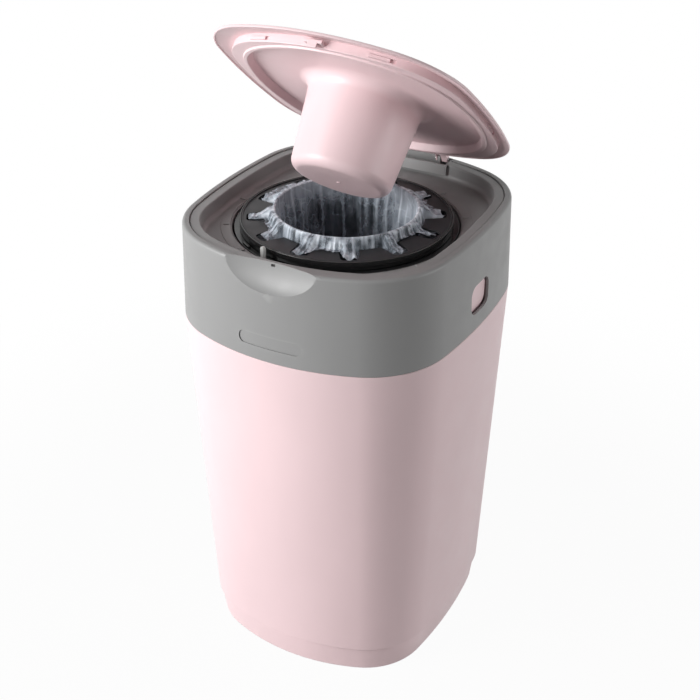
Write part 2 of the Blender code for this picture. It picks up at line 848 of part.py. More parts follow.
def build_carrier(axis):
    bearing = ledge_top + gap
    floor_inner = drum_radius - carrier_floor_width
    profile = [(carrier_radius - carrier_chamfer, carrier_top), (carrier_radius, carrier_top - carrier_chamfer),
               (carrier_radius, bearing), (drum_radius, bearing), (drum_radius, carrier_base),
               (floor_inner, carrier_base), (floor_inner, carrier_base + carrier_floor),
               (drum_inner, carrier_base + carrier_floor), (drum_inner, carrier_top - carrier_chamfer),
               (drum_inner + carrier_chamfer, carrier_top)]
    carrier = link("carrier", turned(profile, drum_steps), parts, black_plastic, parent=axis)
    outer = carrier_radius - carrier_chamfer
    for index in range(grip_count):
        turn = radians(grip_angle) + 2 * pi * index / grip_count
        grip = box((outer - grip_width, -grip_length / 2, carrier_top - carrier_chamfer),
                   (outer, grip_length / 2, carrier_top + grip_height))
        grip.transform(Matrix.Rotation(turn, 4, 'Z'))
        combine(carrier, grip, 'UNION')
    return carrier


def build_lock_ring(axis):
    """A ring snapped on the drum under the well's ledge, with a ratchet tooth for each click."""
    top = lock_ring_top()
    base = top - lock_ring_height
    inner = drum_radius + gap
    tip = lock_tip_radius()
    outer = []
    pitch = 2 * pi / lock_tooth_count
    start = radians(pawl_angle)
    root = tip - lock_tooth_height
    for index in range(lock_tooth_count):
        for share, radius in zip(lock_tooth_shares, (root, root, tip, tip)):
            turn = start + pitch * (index + share)
            outer.append((radius * cos(turn), radius * sin(turn)))
    rings = [[Vector((x, y, z)) for x, y in outer] for z in (top, base)]
    inner_low = [Vector((x, y, 0)).normalized() * inner + Vector((0, 0, base)) for x, y in outer]
    inner_high = [point + Vector((0, 0, top - base)) for point in inner_low]
    ring = loft(rings + [inner_low, inner_high], closed=True)
    return link("carrier_lock_ring", ring, parts, black_plastic, parent=axis)


def build_cassette_body(axis):
    """The refill's trough and inner tube, with a tall lip that hangs over the carrier and seats the plate."""
    lip_base = carrier_top + cassette_lip_lift
    lip_inner = cassette_lip - cassette_lip_wall
    channel_floor = cassette_base + cassette_wall
    channel_wall = cassette_radius - cassette_wall
    tube_outer = tube_radius + tube_wall
    profile = [(cassette_lip, cassette_top), (cassette_lip, lip_base), (cassette_radius, lip_base),
               (cassette_radius, cassette_base), (tube_radius, cassette_base), (tube_radius, tube_top - edge),
               (tube_radius + edge, tube_top), (tube_outer, tube_top - edge), (tube_outer, channel_floor),
               (channel_wall, channel_floor), (channel_wall, plate_seat), (lip_inner, plate_seat),
               (lip_inner, cassette_top)]
    return link("cassette_body", turned(profile, drum_steps), parts, black_plastic, parent=axis)


def build_cassette_plate(axis):
    """The cassette's cover: a lipped ring with tabs that point inwards and hold the film down."""
    outer = cassette_lip - cassette_lip_wall - gap
    ring_inner = outer - plate_lip_width - plate_ring_width
    tab_inner = ring_inner - plate_tab_length
    top = plate_base + plate_thickness
    profile = [(outer, cassette_top), (outer, plate_base), (tab_inner, plate_base), (tab_inner, top),
               (outer - plate_lip_width, top), (outer - plate_lip_width, cassette_top)]
    plate = link("cassette_plate", turned(profile, drum_steps), parts, black_plastic, parent=axis)
    length = plate_tab_length + 2 * overrun
    outline = []
    for along, across in rounded_rectangle(length, plate_gap_width, plate_gap_radius, 2):
        spread = 1 + plate_gap_spread_share * (1 / 2 - along / length)
        outline.append((ring_inner - length / 2 + along, across * spread))
    for index in range(plate_tab_count):
        turn = Matrix.Rotation(2 * pi * index / plate_tab_count, 4, 'Z')
        place = turn @ Matrix.Translation((0, 0, plate_base))
        combine(plate, flat_piece(outline, plate_thickness + 2 * overrun, place), 'DIFFERENCE')
    return plate


def build_film_pack(axis):
    """The stored film, pressed into pleats round the inner tube."""
    base = cassette_base + cassette_wall + gap
    outer = cassette_radius - cassette_wall - pack_clearance
    inner = tube_radius + tube_wall + gap
    pitch = pack_height / (2 * pack_pleats)
    steps = 2 * pack_pleats
    outside = []
    inside = []
    for index in range(steps + 1):
        z = base + pack_height - pitch * index
        dent = pack_pleat_depth * (index % 2)
        outside.append((outer - dent, z))
        inside.append((inner + pack_pleat_depth - dent, z))
    pleats = turned(outside + list(reversed(inside)), pack_steps)
    return link("film_pack", pleats, parts, film_plastic, parent=axis)


def film_ring(radius, z, fold_share=0.0, lift=0.0):
    """One ring of the film, folded in and out by a share of its radius and up and down by a length."""
    count = film_folds * film_steps_per_fold
    ring = []
    for index in range(count):
        turn = 2 * pi * index / count
        wave = cos(film_folds * turn)
        reach = radius * (1 - fold_share * (1 - wave) / 2)
        ring.append(Vector((reach * cos(turn), reach * sin(turn), z + lift * wave)))
    return ring


def build_film_sleeve(axis):
    inner_radius = tube_radius - film_clearance - film_thickness
    lip_middle = tube_radius + tube_wall / 2
    top = film_top
    low_skirt = top - film_skirt_drop - film_skirt_fold
    bend = plate_base - gap - film_thickness - film_skirt_bend_drop
    knot = film_knot_radius
    inside = [
        film_ring(film_skirt_radius, low_skirt, 0, film_skirt_fold),
        film_ring(film_skirt_bend_radius, bend, 0, film_skirt_fold / 2),
        film_ring(lip_middle + tube_wall, top - film_thickness, 0),
        film_ring(tube_radius, top, 0),
        film_ring(inner_radius, top - 2 * film_thickness, 0),
        film_ring(inner_radius, top - film_throat_drop / 2, film_throat_fold_share / 2),
        film_ring(film_throat_radius, top - film_throat_drop, film_throat_fold_share),
        film_ring(film_belly_radius, top - film_belly_drop, film_belly_fold_share),
        film_ring(film_waist_radius, top - film_waist_drop, film_waist_fold_share),
        film_ring(film_neck_radius - film_thickness, top - film_neck_drop, film_waist_fold_share),
    ]
    outside = [
        film_ring(film_neck_radius * 2 / 3, top - film_tail_drop, film_knot_fold_share),
        film_ring(knot, top - film_tail_drop + knot, film_knot_fold_share),
        film_ring(knot, top - film_knot_drop + knot / 3, film_knot_fold_share),
        film_ring(film_neck_radius, top - film_neck_drop - film_thickness, film_waist_fold_share),
        film_ring(film_waist_radius + film_thickness, top - film_waist_drop - film_thickness, film_waist_fold_share),
        film_ring(film_belly_radius + film_thickness, top - film_belly_drop, film_belly_fold_share),
        film_ring(film_throat_radius + film_thickness, top - film_throat_drop, film_throat_fold_share),
        film_ring(inner_radius + film_thickness, top - film_throat_drop / 2, film_throat_fold_share / 2),
        film_ring(inner_radius + film_thickness, tube_top + film_clearance, 0),
        film_ring(lip_middle + tube_wall - film_thickness / 2, tube_top + film_clearance, 0),
        film_ring(film_skirt_bend_radius - film_thickness, bend - film_thickness, 0, film_skirt_fold / 2),
        film_ring(film_skirt_radius, low_skirt - film_thickness, 0, film_skirt_fold),
    ]
    rings = list(reversed(inside)) + list(reversed(outside))
    return link("film_sleeve", loft(rings), parts, film_plastic, parent=axis)


def build_turntable():
    """The captured turntable and the refill in it, all on an empty on the axis that they turn about."""
    axis = bpy.data.objects.new("turntable_axis", None)
    parts.objects.link(axis)
    axis.location = (0, well_centre_y, 0)
    build_carrier(axis)
    build_lock_ring(axis)
    build_cassette_body(axis)
    build_cassette_plate(axis)
    build_film_pack(axis)
    build_film_sleeve(axis)


def lid_outline(half_width, half_depth, centre_y):
    """An outline of the lid: the rim's own, drawn in alike all round."""
    share = half_width / rim_half_width
    return Outline(half_width, half_depth, side_bulge * share, end_bulge * share, rim_corner_radius * share,
                   centre_y)


def build_lid_cover(hinge, pivot):
    """The domed outer shell, with the two lugs that turn on the hinge pins."""
    outline = lid_outline(lid_half_width, lid_half_depth, lid_centre_y)
    top = lid_plane + cover_skirt
    shares = list(zip(dome_outline_shares, dome_rise_shares))
    inner = [outline.ring(top + (cover_rise - cover_wall) * up, cover_wall, share) for share, up in shares]
    outer = [outline.ring(top + cover_rise * up, 0, share) for share, up in shares]
    bottom = [outline.ring(lid_plane, cover_wall), outline.ring(lid_plane, edge),
              outline.ring(lid_plane + edge)]
    cover = link("lid_cover", loft(list(reversed(inner)) + bottom + outer), parts, pink_plastic, pivot, hinge)
    for side in (1, -1):
        combine(cover, shifted(hinge_lug(side), pivot), 'UNION')
    return cover


def hinge_lug(side):
    """A lug that hangs from the cover's back edge, with a round eye on the hinge's axis."""
    points = arc((hinge_y, hinge_height), lug_radius, 90, -90, 6)
    points += [(hinge_y - lug_radius, hinge_height - lug_web_low),
               (hinge_y - lug_reach, hinge_height + lug_web_low),
               (hinge_y - lug_reach, hinge_height + lug_web_high),
               (hinge_y - lug_radius, hinge_height + lug_web_high)]
    lug = link("lug", flat_piece(points, lug_width, facing_x(side * lug_x, 0, 0)), cutters)
    bore = rod(pin_radius + pin_clearance, (side * (lug_x - lug_width), hinge_y, hinge_height),
               (side * (lug_x + lug_width), hinge_y, hinge_height))
    combine(lug, bore, 'DIFFERENCE')
    return evaluated_mesh(lug)


def build_lid_liner(hinge, pivot):
    """The inner moulding: an upright wall, a flat ring, a ridge, a shallow recess and the plunger."""
    outline = lid_outline(liner_half_width, liner_half_depth, liner_centre_y)
    ring_z = lid_plane - liner_drop
    ridge_z = lid_plane - liner_ridge_drop
    recess_z = lid_plane + liner_recess_rise
    ridge_start = liner_ring_width + liner_slope
    ridge_end = ridge_start + liner_ridge_width
    recess_start = ridge_end + liner_recess_slope
    under = [(0, lid_plane + liner_wall_height), (0, ring_z + edge), (edge, ring_z), (liner_ring_width, ring_z),
             (ridge_start, ridge_z), (ridge_end, ridge_z), (recess_start, recess_z)]
    over = [(liner_wall, lid_plane + liner_wall_height), (liner_wall, ring_z + liner_wall),
            (ridge_end, ring_z + liner_wall), (recess_start - edge, recess_z + liner_wall)]
    fillet_centre = (plunger_radius + plunger_fillet, recess_z - plunger_fillet)
    foot_centre = (plunger_foot_radius - plunger_foot_fillet, lid_plane - plunger_depth + plunger_foot_fillet)
    outer = arc(fillet_centre, plunger_fillet, 90, 180, plunger_facets)
    outer += arc(foot_centre, plunger_foot_fillet, 0, -90, plunger_facets)
    inner = arc(fillet_centre, plunger_fillet + liner_wall, 90, 180, plunger_facets)
    inner += arc(foot_centre, plunger_foot_fillet - liner_wall, 0, -90, plunger_facets)
    guide = outline.ring(0)
    rings = [outline.ring(z, inset) for inset, z in reversed(over)]
    rings = [circle_like(guide, radius, z, lid_centre_y) for radius, z in reversed(inner)] + rings
    rings += [outline.ring(z, inset) for inset, z in under]
    rings += [circle_like(guide, radius, z, lid_centre_y) for radius, z in outer]
    return link("lid_liner", loft(rings), parts, pink_plastic, pivot, hinge)


def build_lid_latch(hinge, pivot):
    """The clip between cover and liner at the front, with a prong that drops into the bowl."""
    back = liner_centre_y - liner_half_depth - gap
    block = box((-latch_width / 2, back - latch_depth, lid_plane + edge),
                (latch_width / 2, back, lid_plane + edge + latch_height))
    latch = link("lid_latch", block, parts, pink_plastic, pivot, hinge)
    middle = back - latch_depth
    prong = box((-latch_prong_width / 2, middle, lid_plane - latch_prong_drop),
                (latch_prong_width / 2, middle + latch_prong_thickness, lid_plane + 2 * edge))
    combine(latch, shifted(prong, pivot), 'UNION')
    return latch


def build_lid():
    pivot = Vector((0, hinge_y, hinge_height))
    hinge = bpy.data.objects.new("lid_hinge", None)
    parts.objects.link(hinge)
    hinge.location = pivot
    hinge.rotation_euler.x = -radians(lid_open_angle)
    build_lid_cover(hinge, pivot)
    build_lid_liner(hinge, pivot)
    build_lid_latch(hinge, pivot)


clear_scene()
parts = new_collection("nappy_bin")
cutters = new_collection("cutters")
pink_plastic = new_material("pale_pink_plastic", pink, 0.38)
grey_plastic = new_material("grey_plastic", grey, 0.42)
light_grey_plastic = new_material("light_grey_plastic", light_grey, 0.40)
black_plastic = new_material("black_plastic", black, 0.35)
film_plastic = new_material("film", film_white, 0.25, alpha=0.55)
steel_metal = new_material("steel", steel, 0.30, metallic=1.0)

build_tub()
build_release_tab("release_tab_right", 1)
build_release_tab("release_tab_left", -1)
build_collar()
build_deck()
build_hinge_pin("hinge_pin_right", 1)
build_hinge_pin("hinge_pin_left", -1)
build_click_pawl()
build_turntable()
build_lid()
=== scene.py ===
"""A nappy bin with its lid part open, dressed for its portrait.

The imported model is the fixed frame. Each sub-assembly is a class that models its visible mouldings again
with fine, rounded surfaces, gives them their finish and hangs them on the body that carries them.
Units are metres, +Z is up and the front, with the finger scoop, faces -Y.
"""
import json
import logging
from dataclasses import dataclass, field
from enum import Enum
from functools import cached_property
from math import atan2, cos, hypot, pi, radians, sin, sqrt, tan
from typing import Callable, Sequence

import bmesh
import bpy
from mathutils import Euler, Matrix, Vector, noise


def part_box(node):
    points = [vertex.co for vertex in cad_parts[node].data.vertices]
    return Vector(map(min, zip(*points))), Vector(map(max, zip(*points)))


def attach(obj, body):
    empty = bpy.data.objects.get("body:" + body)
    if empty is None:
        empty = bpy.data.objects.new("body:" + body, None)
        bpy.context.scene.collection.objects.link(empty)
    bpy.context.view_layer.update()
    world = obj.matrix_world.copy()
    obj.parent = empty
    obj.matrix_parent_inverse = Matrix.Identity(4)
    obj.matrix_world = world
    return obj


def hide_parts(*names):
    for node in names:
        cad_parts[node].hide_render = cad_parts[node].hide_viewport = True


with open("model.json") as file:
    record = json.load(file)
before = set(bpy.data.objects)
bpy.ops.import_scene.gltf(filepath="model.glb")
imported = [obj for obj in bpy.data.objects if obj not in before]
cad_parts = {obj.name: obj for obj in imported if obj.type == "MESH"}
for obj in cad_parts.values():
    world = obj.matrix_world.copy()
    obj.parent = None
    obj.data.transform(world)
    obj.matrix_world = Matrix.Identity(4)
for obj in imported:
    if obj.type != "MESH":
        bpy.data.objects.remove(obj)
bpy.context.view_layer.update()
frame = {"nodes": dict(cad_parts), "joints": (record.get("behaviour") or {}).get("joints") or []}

log = logging.getLogger("nappy_bin")

Point = tuple[float, float]
Ring = list[Vector]
Colour = tuple[float, float, float]
Waves = tuple[tuple[float, float], ...]
Piece = bpy.types.Object
Socket = bpy.types.NodeSocket
Inputs = dict[str | int, Socket | Vector | Colour | float]

weld_distance = 0.00001
gap = 0.0003
overrun = 0.004
half_share = 0.49


class Ends(Enum):
    """How a skin drawn through rings is finished."""

    CAPPED = "capped"
    JOINED = "joined"
    OPEN = "open"


class Joining(Enum):
    """What a second shape does to the first."""

    UNION = "UNION"
    DIFFERENCE = "DIFFERENCE"
    INTERSECT = "INTERSECT"


class Side(Enum):
    """The bin's right side, +X, or its left."""

    RIGHT = 1
    LEFT = -1


def mix(low: float, high: float, share: float) -> float:
    """The value at a share of the way from low to high."""
    return low + (high - low) * share


def held(value: float) -> float:
    """A value kept from 0 to 1."""
    return min(max(value, 0.0), 1.0)


def smooth_step(share: float) -> float:
    """A share eased in and out, and kept from 0 to 1."""
    kept = held(share)
    return kept * kept * (3 - 2 * kept)


def heading(turn: float) -> Vector:
    """The level vector, of length 1, at a bearing in radians."""
    return Vector((cos(turn), sin(turn), 0))


def waver(place: Vector, waves: Waves) -> float:
    """A sum of noises at a place, each wave given as how fine it is and how much it weighs."""
    return sum(weight * noise.noise(place * fineness) for fineness, weight in waves)


def arc(centre: Point, radius: float, start: float, stop: float, facets: int) -> list[Point]:
    """Points of an arc from a bearing to another, in degrees, both ends included."""
    turns = [radians(mix(start, stop, index / facets)) for index in range(facets + 1)]
    return [(centre[0] + radius * cos(turn), centre[1] + radius * sin(turn)) for turn in turns]


def rounded_rectangle(width: float, height: float, radius: float, facets: int = 8) -> list[Point]:
    """Points of a rounded rectangle about its centre, anticlockwise, with some facets in each corner."""
    points: list[Point] = []
    for turn, across, up in ((0, 1, 1), (90, -1, 1), (180, -1, -1), (270, 1, -1)):
        centre = (across * (width / 2 - radius), up * (height / 2 - radius))
        points += arc(centre, radius, turn, turn + 90, facets)
    return points


@dataclass(frozen=True)
class Corner:
    """A corner of a profile: how far across and up it lies, and the radius that rounds it."""

    across: float
    up: float
    radius: float = 0.0

    def place(self) -> Vector:
        """The corner as a point."""
        return Vector((self.across, self.up))


def split_runs(points: Sequence[Point], longest: float) -> list[Point]:
    """Split the runs of an open line of points evenly where they are longer than a length."""
    made = [points[0]]
    for start, stop in zip(points, points[1:]):
        steps = max(1, round(hypot(stop[0] - start[0], stop[1] - start[1]) / longest))
        for index in range(1, steps + 1):
            share = index / steps
            made.append((mix(start[0], stop[0], share), mix(start[1], stop[1], share)))
    return made


def rounded(corners: Sequence[Corner], closed: bool, facets: int = 4, longest: float = 0.012) -> list[Point]:
    """Round a profile's corners and split its long runs.

    Args:
        corners: The profile's corners in order.
        closed: Whether the last corner joins the first.
        facets: The pieces of arc at a rounded corner.
        longest: The longest run that is left whole.

    Returns:
        The profile's points, as (across, up).
    """
    points: list[Point] = []
    count = len(corners)
    for index, corner in enumerate(corners):
        here = corner.place()
        if corner.radius == 0 or (not closed and index in (0, count - 1)):
            points.append((here.x, here.y))
            continue
        back = corners[index - 1].place() - here
        onwards = corners[(index + 1) % count].place() - here
        half = back.angle(onwards) / 2
        reach = min(corner.radius / tan(half), back.length * half_share, onwards.length * half_share)
        radius = reach * tan(half)
        centre = here + (back.normalized() + onwards.normalized()).normalized() * (radius / sin(half))
        start = here + back.normalized() * reach - centre
        stop = here + onwards.normalized() * reach - centre
        first = atan2(start.y, start.x)
        sweep = (atan2(stop.y, stop.x) - first + pi) % (2 * pi) - pi
        for step in range(facets + 1):
            turn = first + sweep * step / facets
            points.append((centre.x + radius * cos(turn), centre.y + radius * sin(turn)))
    if closed:
        return split_runs(points + [points[0]], longest)[:-1]
    return split_runs(points, longest)


@dataclass(frozen=True)
class Outline:
    """A rounded rectangle whose four sides bulge outwards, in arcs that run into each other."""

    half_width: float
    half_depth: float
    side_bulge: float
    end_bulge: float
    corner_radius: float
    centre_y: float = 0.0
    side_facets: int = 10
    corner_facets: int = 24
    end_facets: int = 14

    def side_radius(self) -> float:
        """The radius of the long sides' arcs."""
        return (self.half_depth ** 2 + self.side_bulge ** 2) / (2 * self.side_bulge)

    def end_radius(self) -> float:
        """The radius of the front and back arcs."""
        return (self.half_width ** 2 + self.end_bulge ** 2) / (2 * self.end_bulge)

    def corner(self) -> Vector:
        """The centre of the corner arc, which touches the side arc and the end arc from inside."""
        side_x = self.half_width - self.side_radius()
        end_y = self.half_depth - self.end_radius()
        side_reach = self.side_radius() - self.corner_radius
        end_reach = self.end_radius() - self.corner_radius
        span = hypot(side_x, end_y)
        along = (side_reach ** 2 - end_reach ** 2 + span ** 2) / (2 * span)
        across = sqrt(max(side_reach ** 2 - along ** 2, 0))
        step = Vector((-side_x, end_y)) / span
        foot = Vector((side_x, 0)) + step * along
        normal = Vector((-step.y, step.x)) * across
        return max(foot + normal, foot - normal, key=lambda point: point.x + point.y)

    def quarter(self, inset: float) -> list[Vector]:
        """Points from the +X side round the corner to the +Y end, drawn in by an inset."""
        side_x = self.half_width - self.side_radius()
        end_y = self.half_depth - self.end_radius()
        corner = self.corner()
        side_turn = atan2(corner.y, corner.x - side_x)
        end_turn = atan2(corner.y - end_y, corner.x)
        arcs = (
            (Vector((side_x, 0)), self.side_radius(), 0.0, side_turn, self.side_facets),
            (corner, self.corner_radius, side_turn, end_turn, self.corner_facets),
            (Vector((0, end_y)), self.end_radius(), end_turn, pi / 2, self.end_facets),
        )
        points = []
        for centre, radius, start, stop, facets in arcs:
            for index in range(facets):
                turn = mix(start, stop, index / facets)
                points.append(centre + Vector((cos(turn), sin(turn))) * (radius - inset))
        points.append(Vector((0, self.half_depth - inset)))
        return points

    def ring(self, z: float, inset: float = 0.0, share: float = 1.0) -> Ring:
        """The whole outline at one height.

        Args:
            z: The height.
            inset: How far it is drawn in, square to itself.
            share: How far it is then drawn in about its centre.

        Returns:
            Its points, anticlockwise from the +X side.
        """
        quarter = self.quarter(inset)
        last = len(quarter) - 1
        points = quarter[:last]
        points += [Vector((-p.x, p.y)) for p in reversed(quarter[1:])]
        points += [-p for p in quarter[:last]]
        points += [Vector((p.x, -p.y)) for p in reversed(quarter[1:])]
        return [Vector((p.x * share, p.y * share + self.centre_y, z)) for p in points]

    def rings(self, corners: Sequence[Corner], longest: float) -> list[Ring]:
        """The outline along an open section of (inset, height) corners."""
        return [self.ring(z, inset) for inset, z in rounded(corners, closed=False, longest=longest)]


def circle_like(ring: Ring, radius: float, z: float, centre_y: float) -> Ring:
    """A circle with one point for each point of a ring, at the same bearing from its own centre."""
    points = []
    for point in ring:
        turn = atan2(point.y - centre_y, point.x)
        points.append(Vector((radius * cos(turn), centre_y + radius * sin(turn), z)))
    return points


def between(first: Ring, second: Ring, share: float) -> Ring:
    """The ring at a share of the way from one ring to another."""
    return [start.lerp(stop, share) for start, stop in zip(first, second)]


def node_radius(node: str) -> float:
    """Half the width of a node of the frame."""
    low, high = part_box(node)
    return (high.x - low.x) / 2


def joint_named(name: str) -> dict:
    """The frame's entry for a joint."""
    return next(joint for joint in frame["joints"] if joint["name"] == name)


class Hand:
    """Blender's modelling operators, each called on a clean selection."""

    @staticmethod
    def rest() -> None:
        """Leave edit mode and select nothing."""
        if bpy.context.mode != 'OBJECT':
            bpy.ops.object.mode_set(mode='OBJECT')
        bpy.ops.object.select_all(action='DESELECT')

    @staticmethod
    def hold(piece: Piece) -> None:
        """Select one piece and make it active."""
        Hand.rest()
        piece.select_set(True)
        bpy.context.view_layer.objects.active = piece

    @staticmethod
    def name(piece: Piece, name: str) -> Piece:
        """Name a piece and its mesh."""
        piece.name = name
        piece.data.name = name
        return piece

    @staticmethod
    def take(name: str) -> Piece:
        """Apply the place and size of the shape that was just added, and name it."""
        bpy.ops.object.transform_apply(location=True, rotation=True, scale=True)
        return Hand.name(bpy.context.object, name)

    @staticmethod
    def select_first_and_last(piece: Piece, first: int, last: int) -> None:
        """Select a mesh's first vertices, its last ones or both, in edit mode."""
        bpy.ops.mesh.select_all(action='DESELECT')
        work = bmesh.from_edit_mesh(piece.data)
        work.verts.ensure_lookup_table()
        count = len(work.verts)
        for index in list(range(first)) + list(range(count - last, count)):
            work.verts[index].select = True
        work.select_flush(True)
        bmesh.update_edit_mesh(piece.data)

    @staticmethod
    def draw_loop_on(piece: Piece, below: Ring, ring: Ring) -> None:
        """Extrude the selected loop to the next ring's height and set it out on that ring."""
        rise = ring[0].z - below[0].z
        bpy.ops.mesh.extrude_region_move(TRANSFORM_OT_translate={"value": (0, 0, rise)})
        work = bmesh.from_edit_mesh(piece.data)
        drawn = {(vertex.co.x, vertex.co.y): vertex for vertex in work.verts if vertex.select}
        for old, new in zip(below, ring):
            drawn[(old.x, old.y)].co = new
        bmesh.update_edit_mesh(piece.data, loop_triangles=False, destructive=False)

    @staticmethod
    def loft(name: str, rings: Sequence[Ring], ends: Ends) -> Piece:
        """Draw a skin through rings by extruding one loop from ring to ring.

        Args:
            name: The piece's name.
            rings: The rings, each with the same number of points.
            ends: Whether the ends are capped, joined to each other or left open.

        Returns:
            The new piece, with its faces pointing out.
        """
        Hand.rest()
        count = len(rings[0])
        bpy.ops.mesh.primitive_circle_add(vertices=count, radius=1, fill_type='NOTHING')
        piece = Hand.name(bpy.context.object, name)
        for vertex, point in zip(piece.data.vertices, rings[0]):
            vertex.co = point
        bpy.ops.object.mode_set(mode='EDIT')
        bpy.ops.mesh.select_mode(type='VERT')
        bpy.ops.mesh.select_all(action='SELECT')
        for below, ring in zip(rings, rings[1:]):
            Hand.draw_loop_on(piece, below, ring)
        if ends is Ends.CAPPED:
            bpy.ops.mesh.edge_face_add()
            Hand.select_first_and_last(piece, count, 0)
            bpy.ops.mesh.edge_face_add()
        elif ends is Ends.JOINED:
            Hand.select_first_and_last(piece, count, count)
            bpy.ops.mesh.bridge_edge_loops()
        Hand.close(piece)
        return piece

    @staticmethod
    def close(piece: Piece) -> None:
        """Merge a mesh's doubles and point its faces outwards."""
        Hand.hold(piece)
        bpy.ops.object.mode_set(mode='EDIT')
        bpy.ops.mesh.select_all(action='SELECT')
        bpy.ops.mesh.remove_doubles(threshold=weld_distance)
        bpy.ops.mesh.normals_make_consistent(inside=False)
        bpy.ops.object.mode_set(mode='OBJECT')

    @staticmethod
    def turn(name: str, profile: Sequence[Point], steps: int, centre_y: float) -> Piece:
        """Extrude a vertex along a closed profile and spin it about an upright axis.

        Args:
            name: The piece's name.
            profile: The closed profile, as (radius, height).
            steps: The steps of the full turn.
            centre_y: Where the axis stands on Y.

        Returns:
            The turned piece.
        """
        Hand.rest()
        bpy.ops.mesh.primitive_plane_add(size=gap)
        piece = Hand.name(bpy.context.object, name)
        bpy.ops.object.mode_set(mode='EDIT')
        bpy.ops.mesh.select_mode(type='VERT')
        bpy.ops.mesh.select_all(action='SELECT')
        bpy.ops.mesh.merge(type='CENTER')
        bpy.ops.transform.translate(value=(profile[0][0], centre_y, profile[0][1]))
        for start, stop in zip(profile, profile[1:]):
            step = (stop[0] - start[0], 0, stop[1] - start[1])
            bpy.ops.mesh.extrude_region_move(TRANSFORM_OT_translate={"value": step})
        Hand.select_first_and_last(piece, 1, 1)
        bpy.ops.mesh.edge_face_add()
        bpy.ops.mesh.select_all(action='SELECT')
        bpy.ops.mesh.spin(steps=steps, angle=2 * pi, center=(0, centre_y, 0), axis=(0, 0, 1))
        Hand.close(piece)
        return piece

    @staticmethod
    def settle(piece: Piece, place: Matrix) -> Piece:
        """Move a piece by a matrix and apply the move to its mesh."""
        Hand.hold(piece)
        piece.matrix_world = place @ piece.matrix_world
        bpy.ops.object.transform_apply(location=True, rotation=True, scale=True)
        return piece

    @staticmethod
    def prism(name: str, outline: Sequence[Point], depth: float, place: Matrix,
              bevel: float = 0.0, segments: int = 3) -> Piece:
        """Extrude a flat outline both ways from the XY plane, bevel its edges and stand it in its place."""
        rings = [[Vector((x, y, z)) for x, y in outline] for z in (-depth / 2, depth / 2)]
        piece = Hand.loft(name, rings, Ends.CAPPED)
        if bevel:
            Hand.soften(piece, bevel, segments)
        return Hand.settle(piece, place)

    @staticmethod
    def block(name: str, low: Sequence[float], high: Sequence[float], bevel: float = 0.0,
              segments: int = 3) -> Piece:
        """A block between its lowest and its highest corner, with its edges bevelled."""
        Hand.rest()
        size = Vector(high) - Vector(low)
        bpy.ops.mesh.primitive_cube_add(size=1, location=(Vector(low) + Vector(high)) / 2, scale=size)
        piece = Hand.take(name)
        if bevel:
            Hand.soften(piece, bevel, segments)
        return piece

    @staticmethod
    def modify(piece: Piece, kind: str, **settings: float | str | Piece) -> None:
        """Apply a modifier of some kind and settings to a piece."""
        Hand.hold(piece)
        modifier = piece.modifiers.new(kind, kind)
        for name, value in settings.items():
            setattr(modifier, name, value)
        bpy.ops.object.modifier_apply(modifier=modifier.name)

    @staticmethod
    def soften(piece: Piece, width: float, segments: int, angle: float = 40.0) -> None:
        """Bevel a piece's edges that are sharper than an angle in degrees."""
        Hand.modify(piece, 'BEVEL', width=width, segments=segments, limit_method='ANGLE',
                    angle_limit=radians(angle))

    @staticmethod
    def combine(piece: Piece, other: Piece, joining: Joining) -> Piece:
        """Join a second shape to a piece, cut it away or keep what both hold, and remove the second."""
        Hand.modify(piece, 'BOOLEAN', operation=joining.value, solver='EXACT', object=other)
        bpy.data.objects.remove(other, do_unlink=True)
        return piece

    @staticmethod
    def add(piece: Piece, other: Piece) -> Piece:
        """Unite a second shape with a piece."""
        return Hand.combine(piece, other, Joining.UNION)

    @staticmethod
    def cut(piece: Piece, other: Piece) -> Piece:
        """Cut a second shape away from a piece."""
        return Hand.combine(piece, other, Joining.DIFFERENCE)

    @staticmethod
    def join(pieces: Sequence[Piece]) -> Piece:
        """Join several pieces into the first."""
        Hand.hold(pieces[0])
        for piece in pieces:
            piece.select_set(True)
        bpy.ops.object.join()
        return pieces[0]

    @staticmethod
    def mirror(piece: Piece) -> Piece:
        """Reflect a piece in the plane x = 0 and turn its faces out again."""
        Hand.settle(piece, Matrix.Diagonal((-1, 1, 1, 1)))
        Hand.close(piece)
        return piece

    @staticmethod
    def smooth(piece: Piece, angle: float = 32.0) -> None:
        """Shade a piece smooth, but sharp across edges steeper than an angle in degrees."""
        Hand.hold(piece)
        bpy.ops.object.shade_smooth_by_angle(angle=radians(angle))
        Hand.modify(piece, 'WEIGHTED_NORMAL', keep_sharp=True)

    @staticmethod
    def thicken(piece: Piece, thickness: float) -> None:
        """Give an open sheet its thickness, half on each side."""
        Hand.modify(piece, 'SOLIDIFY', thickness=thickness, offset=0)


def facing_x(x: float, y: float, z: float) -> Matrix:
    """A matrix that stands a flat outline square to X, its width along Y and its height along Z."""
    return Matrix.Translation((x, y, z)) @ Euler((pi / 2, 0, pi / 2)).to_matrix().to_4x4()


def facing_y(x: float, y: float, z: float) -> Matrix:
    """A matrix that stands a flat outline square to Y, its width along X and its height along Z."""
    return Matrix.Translation((x, y, z)) @ Euler((pi / 2, 0, 0)).to_matrix().to_4x4()


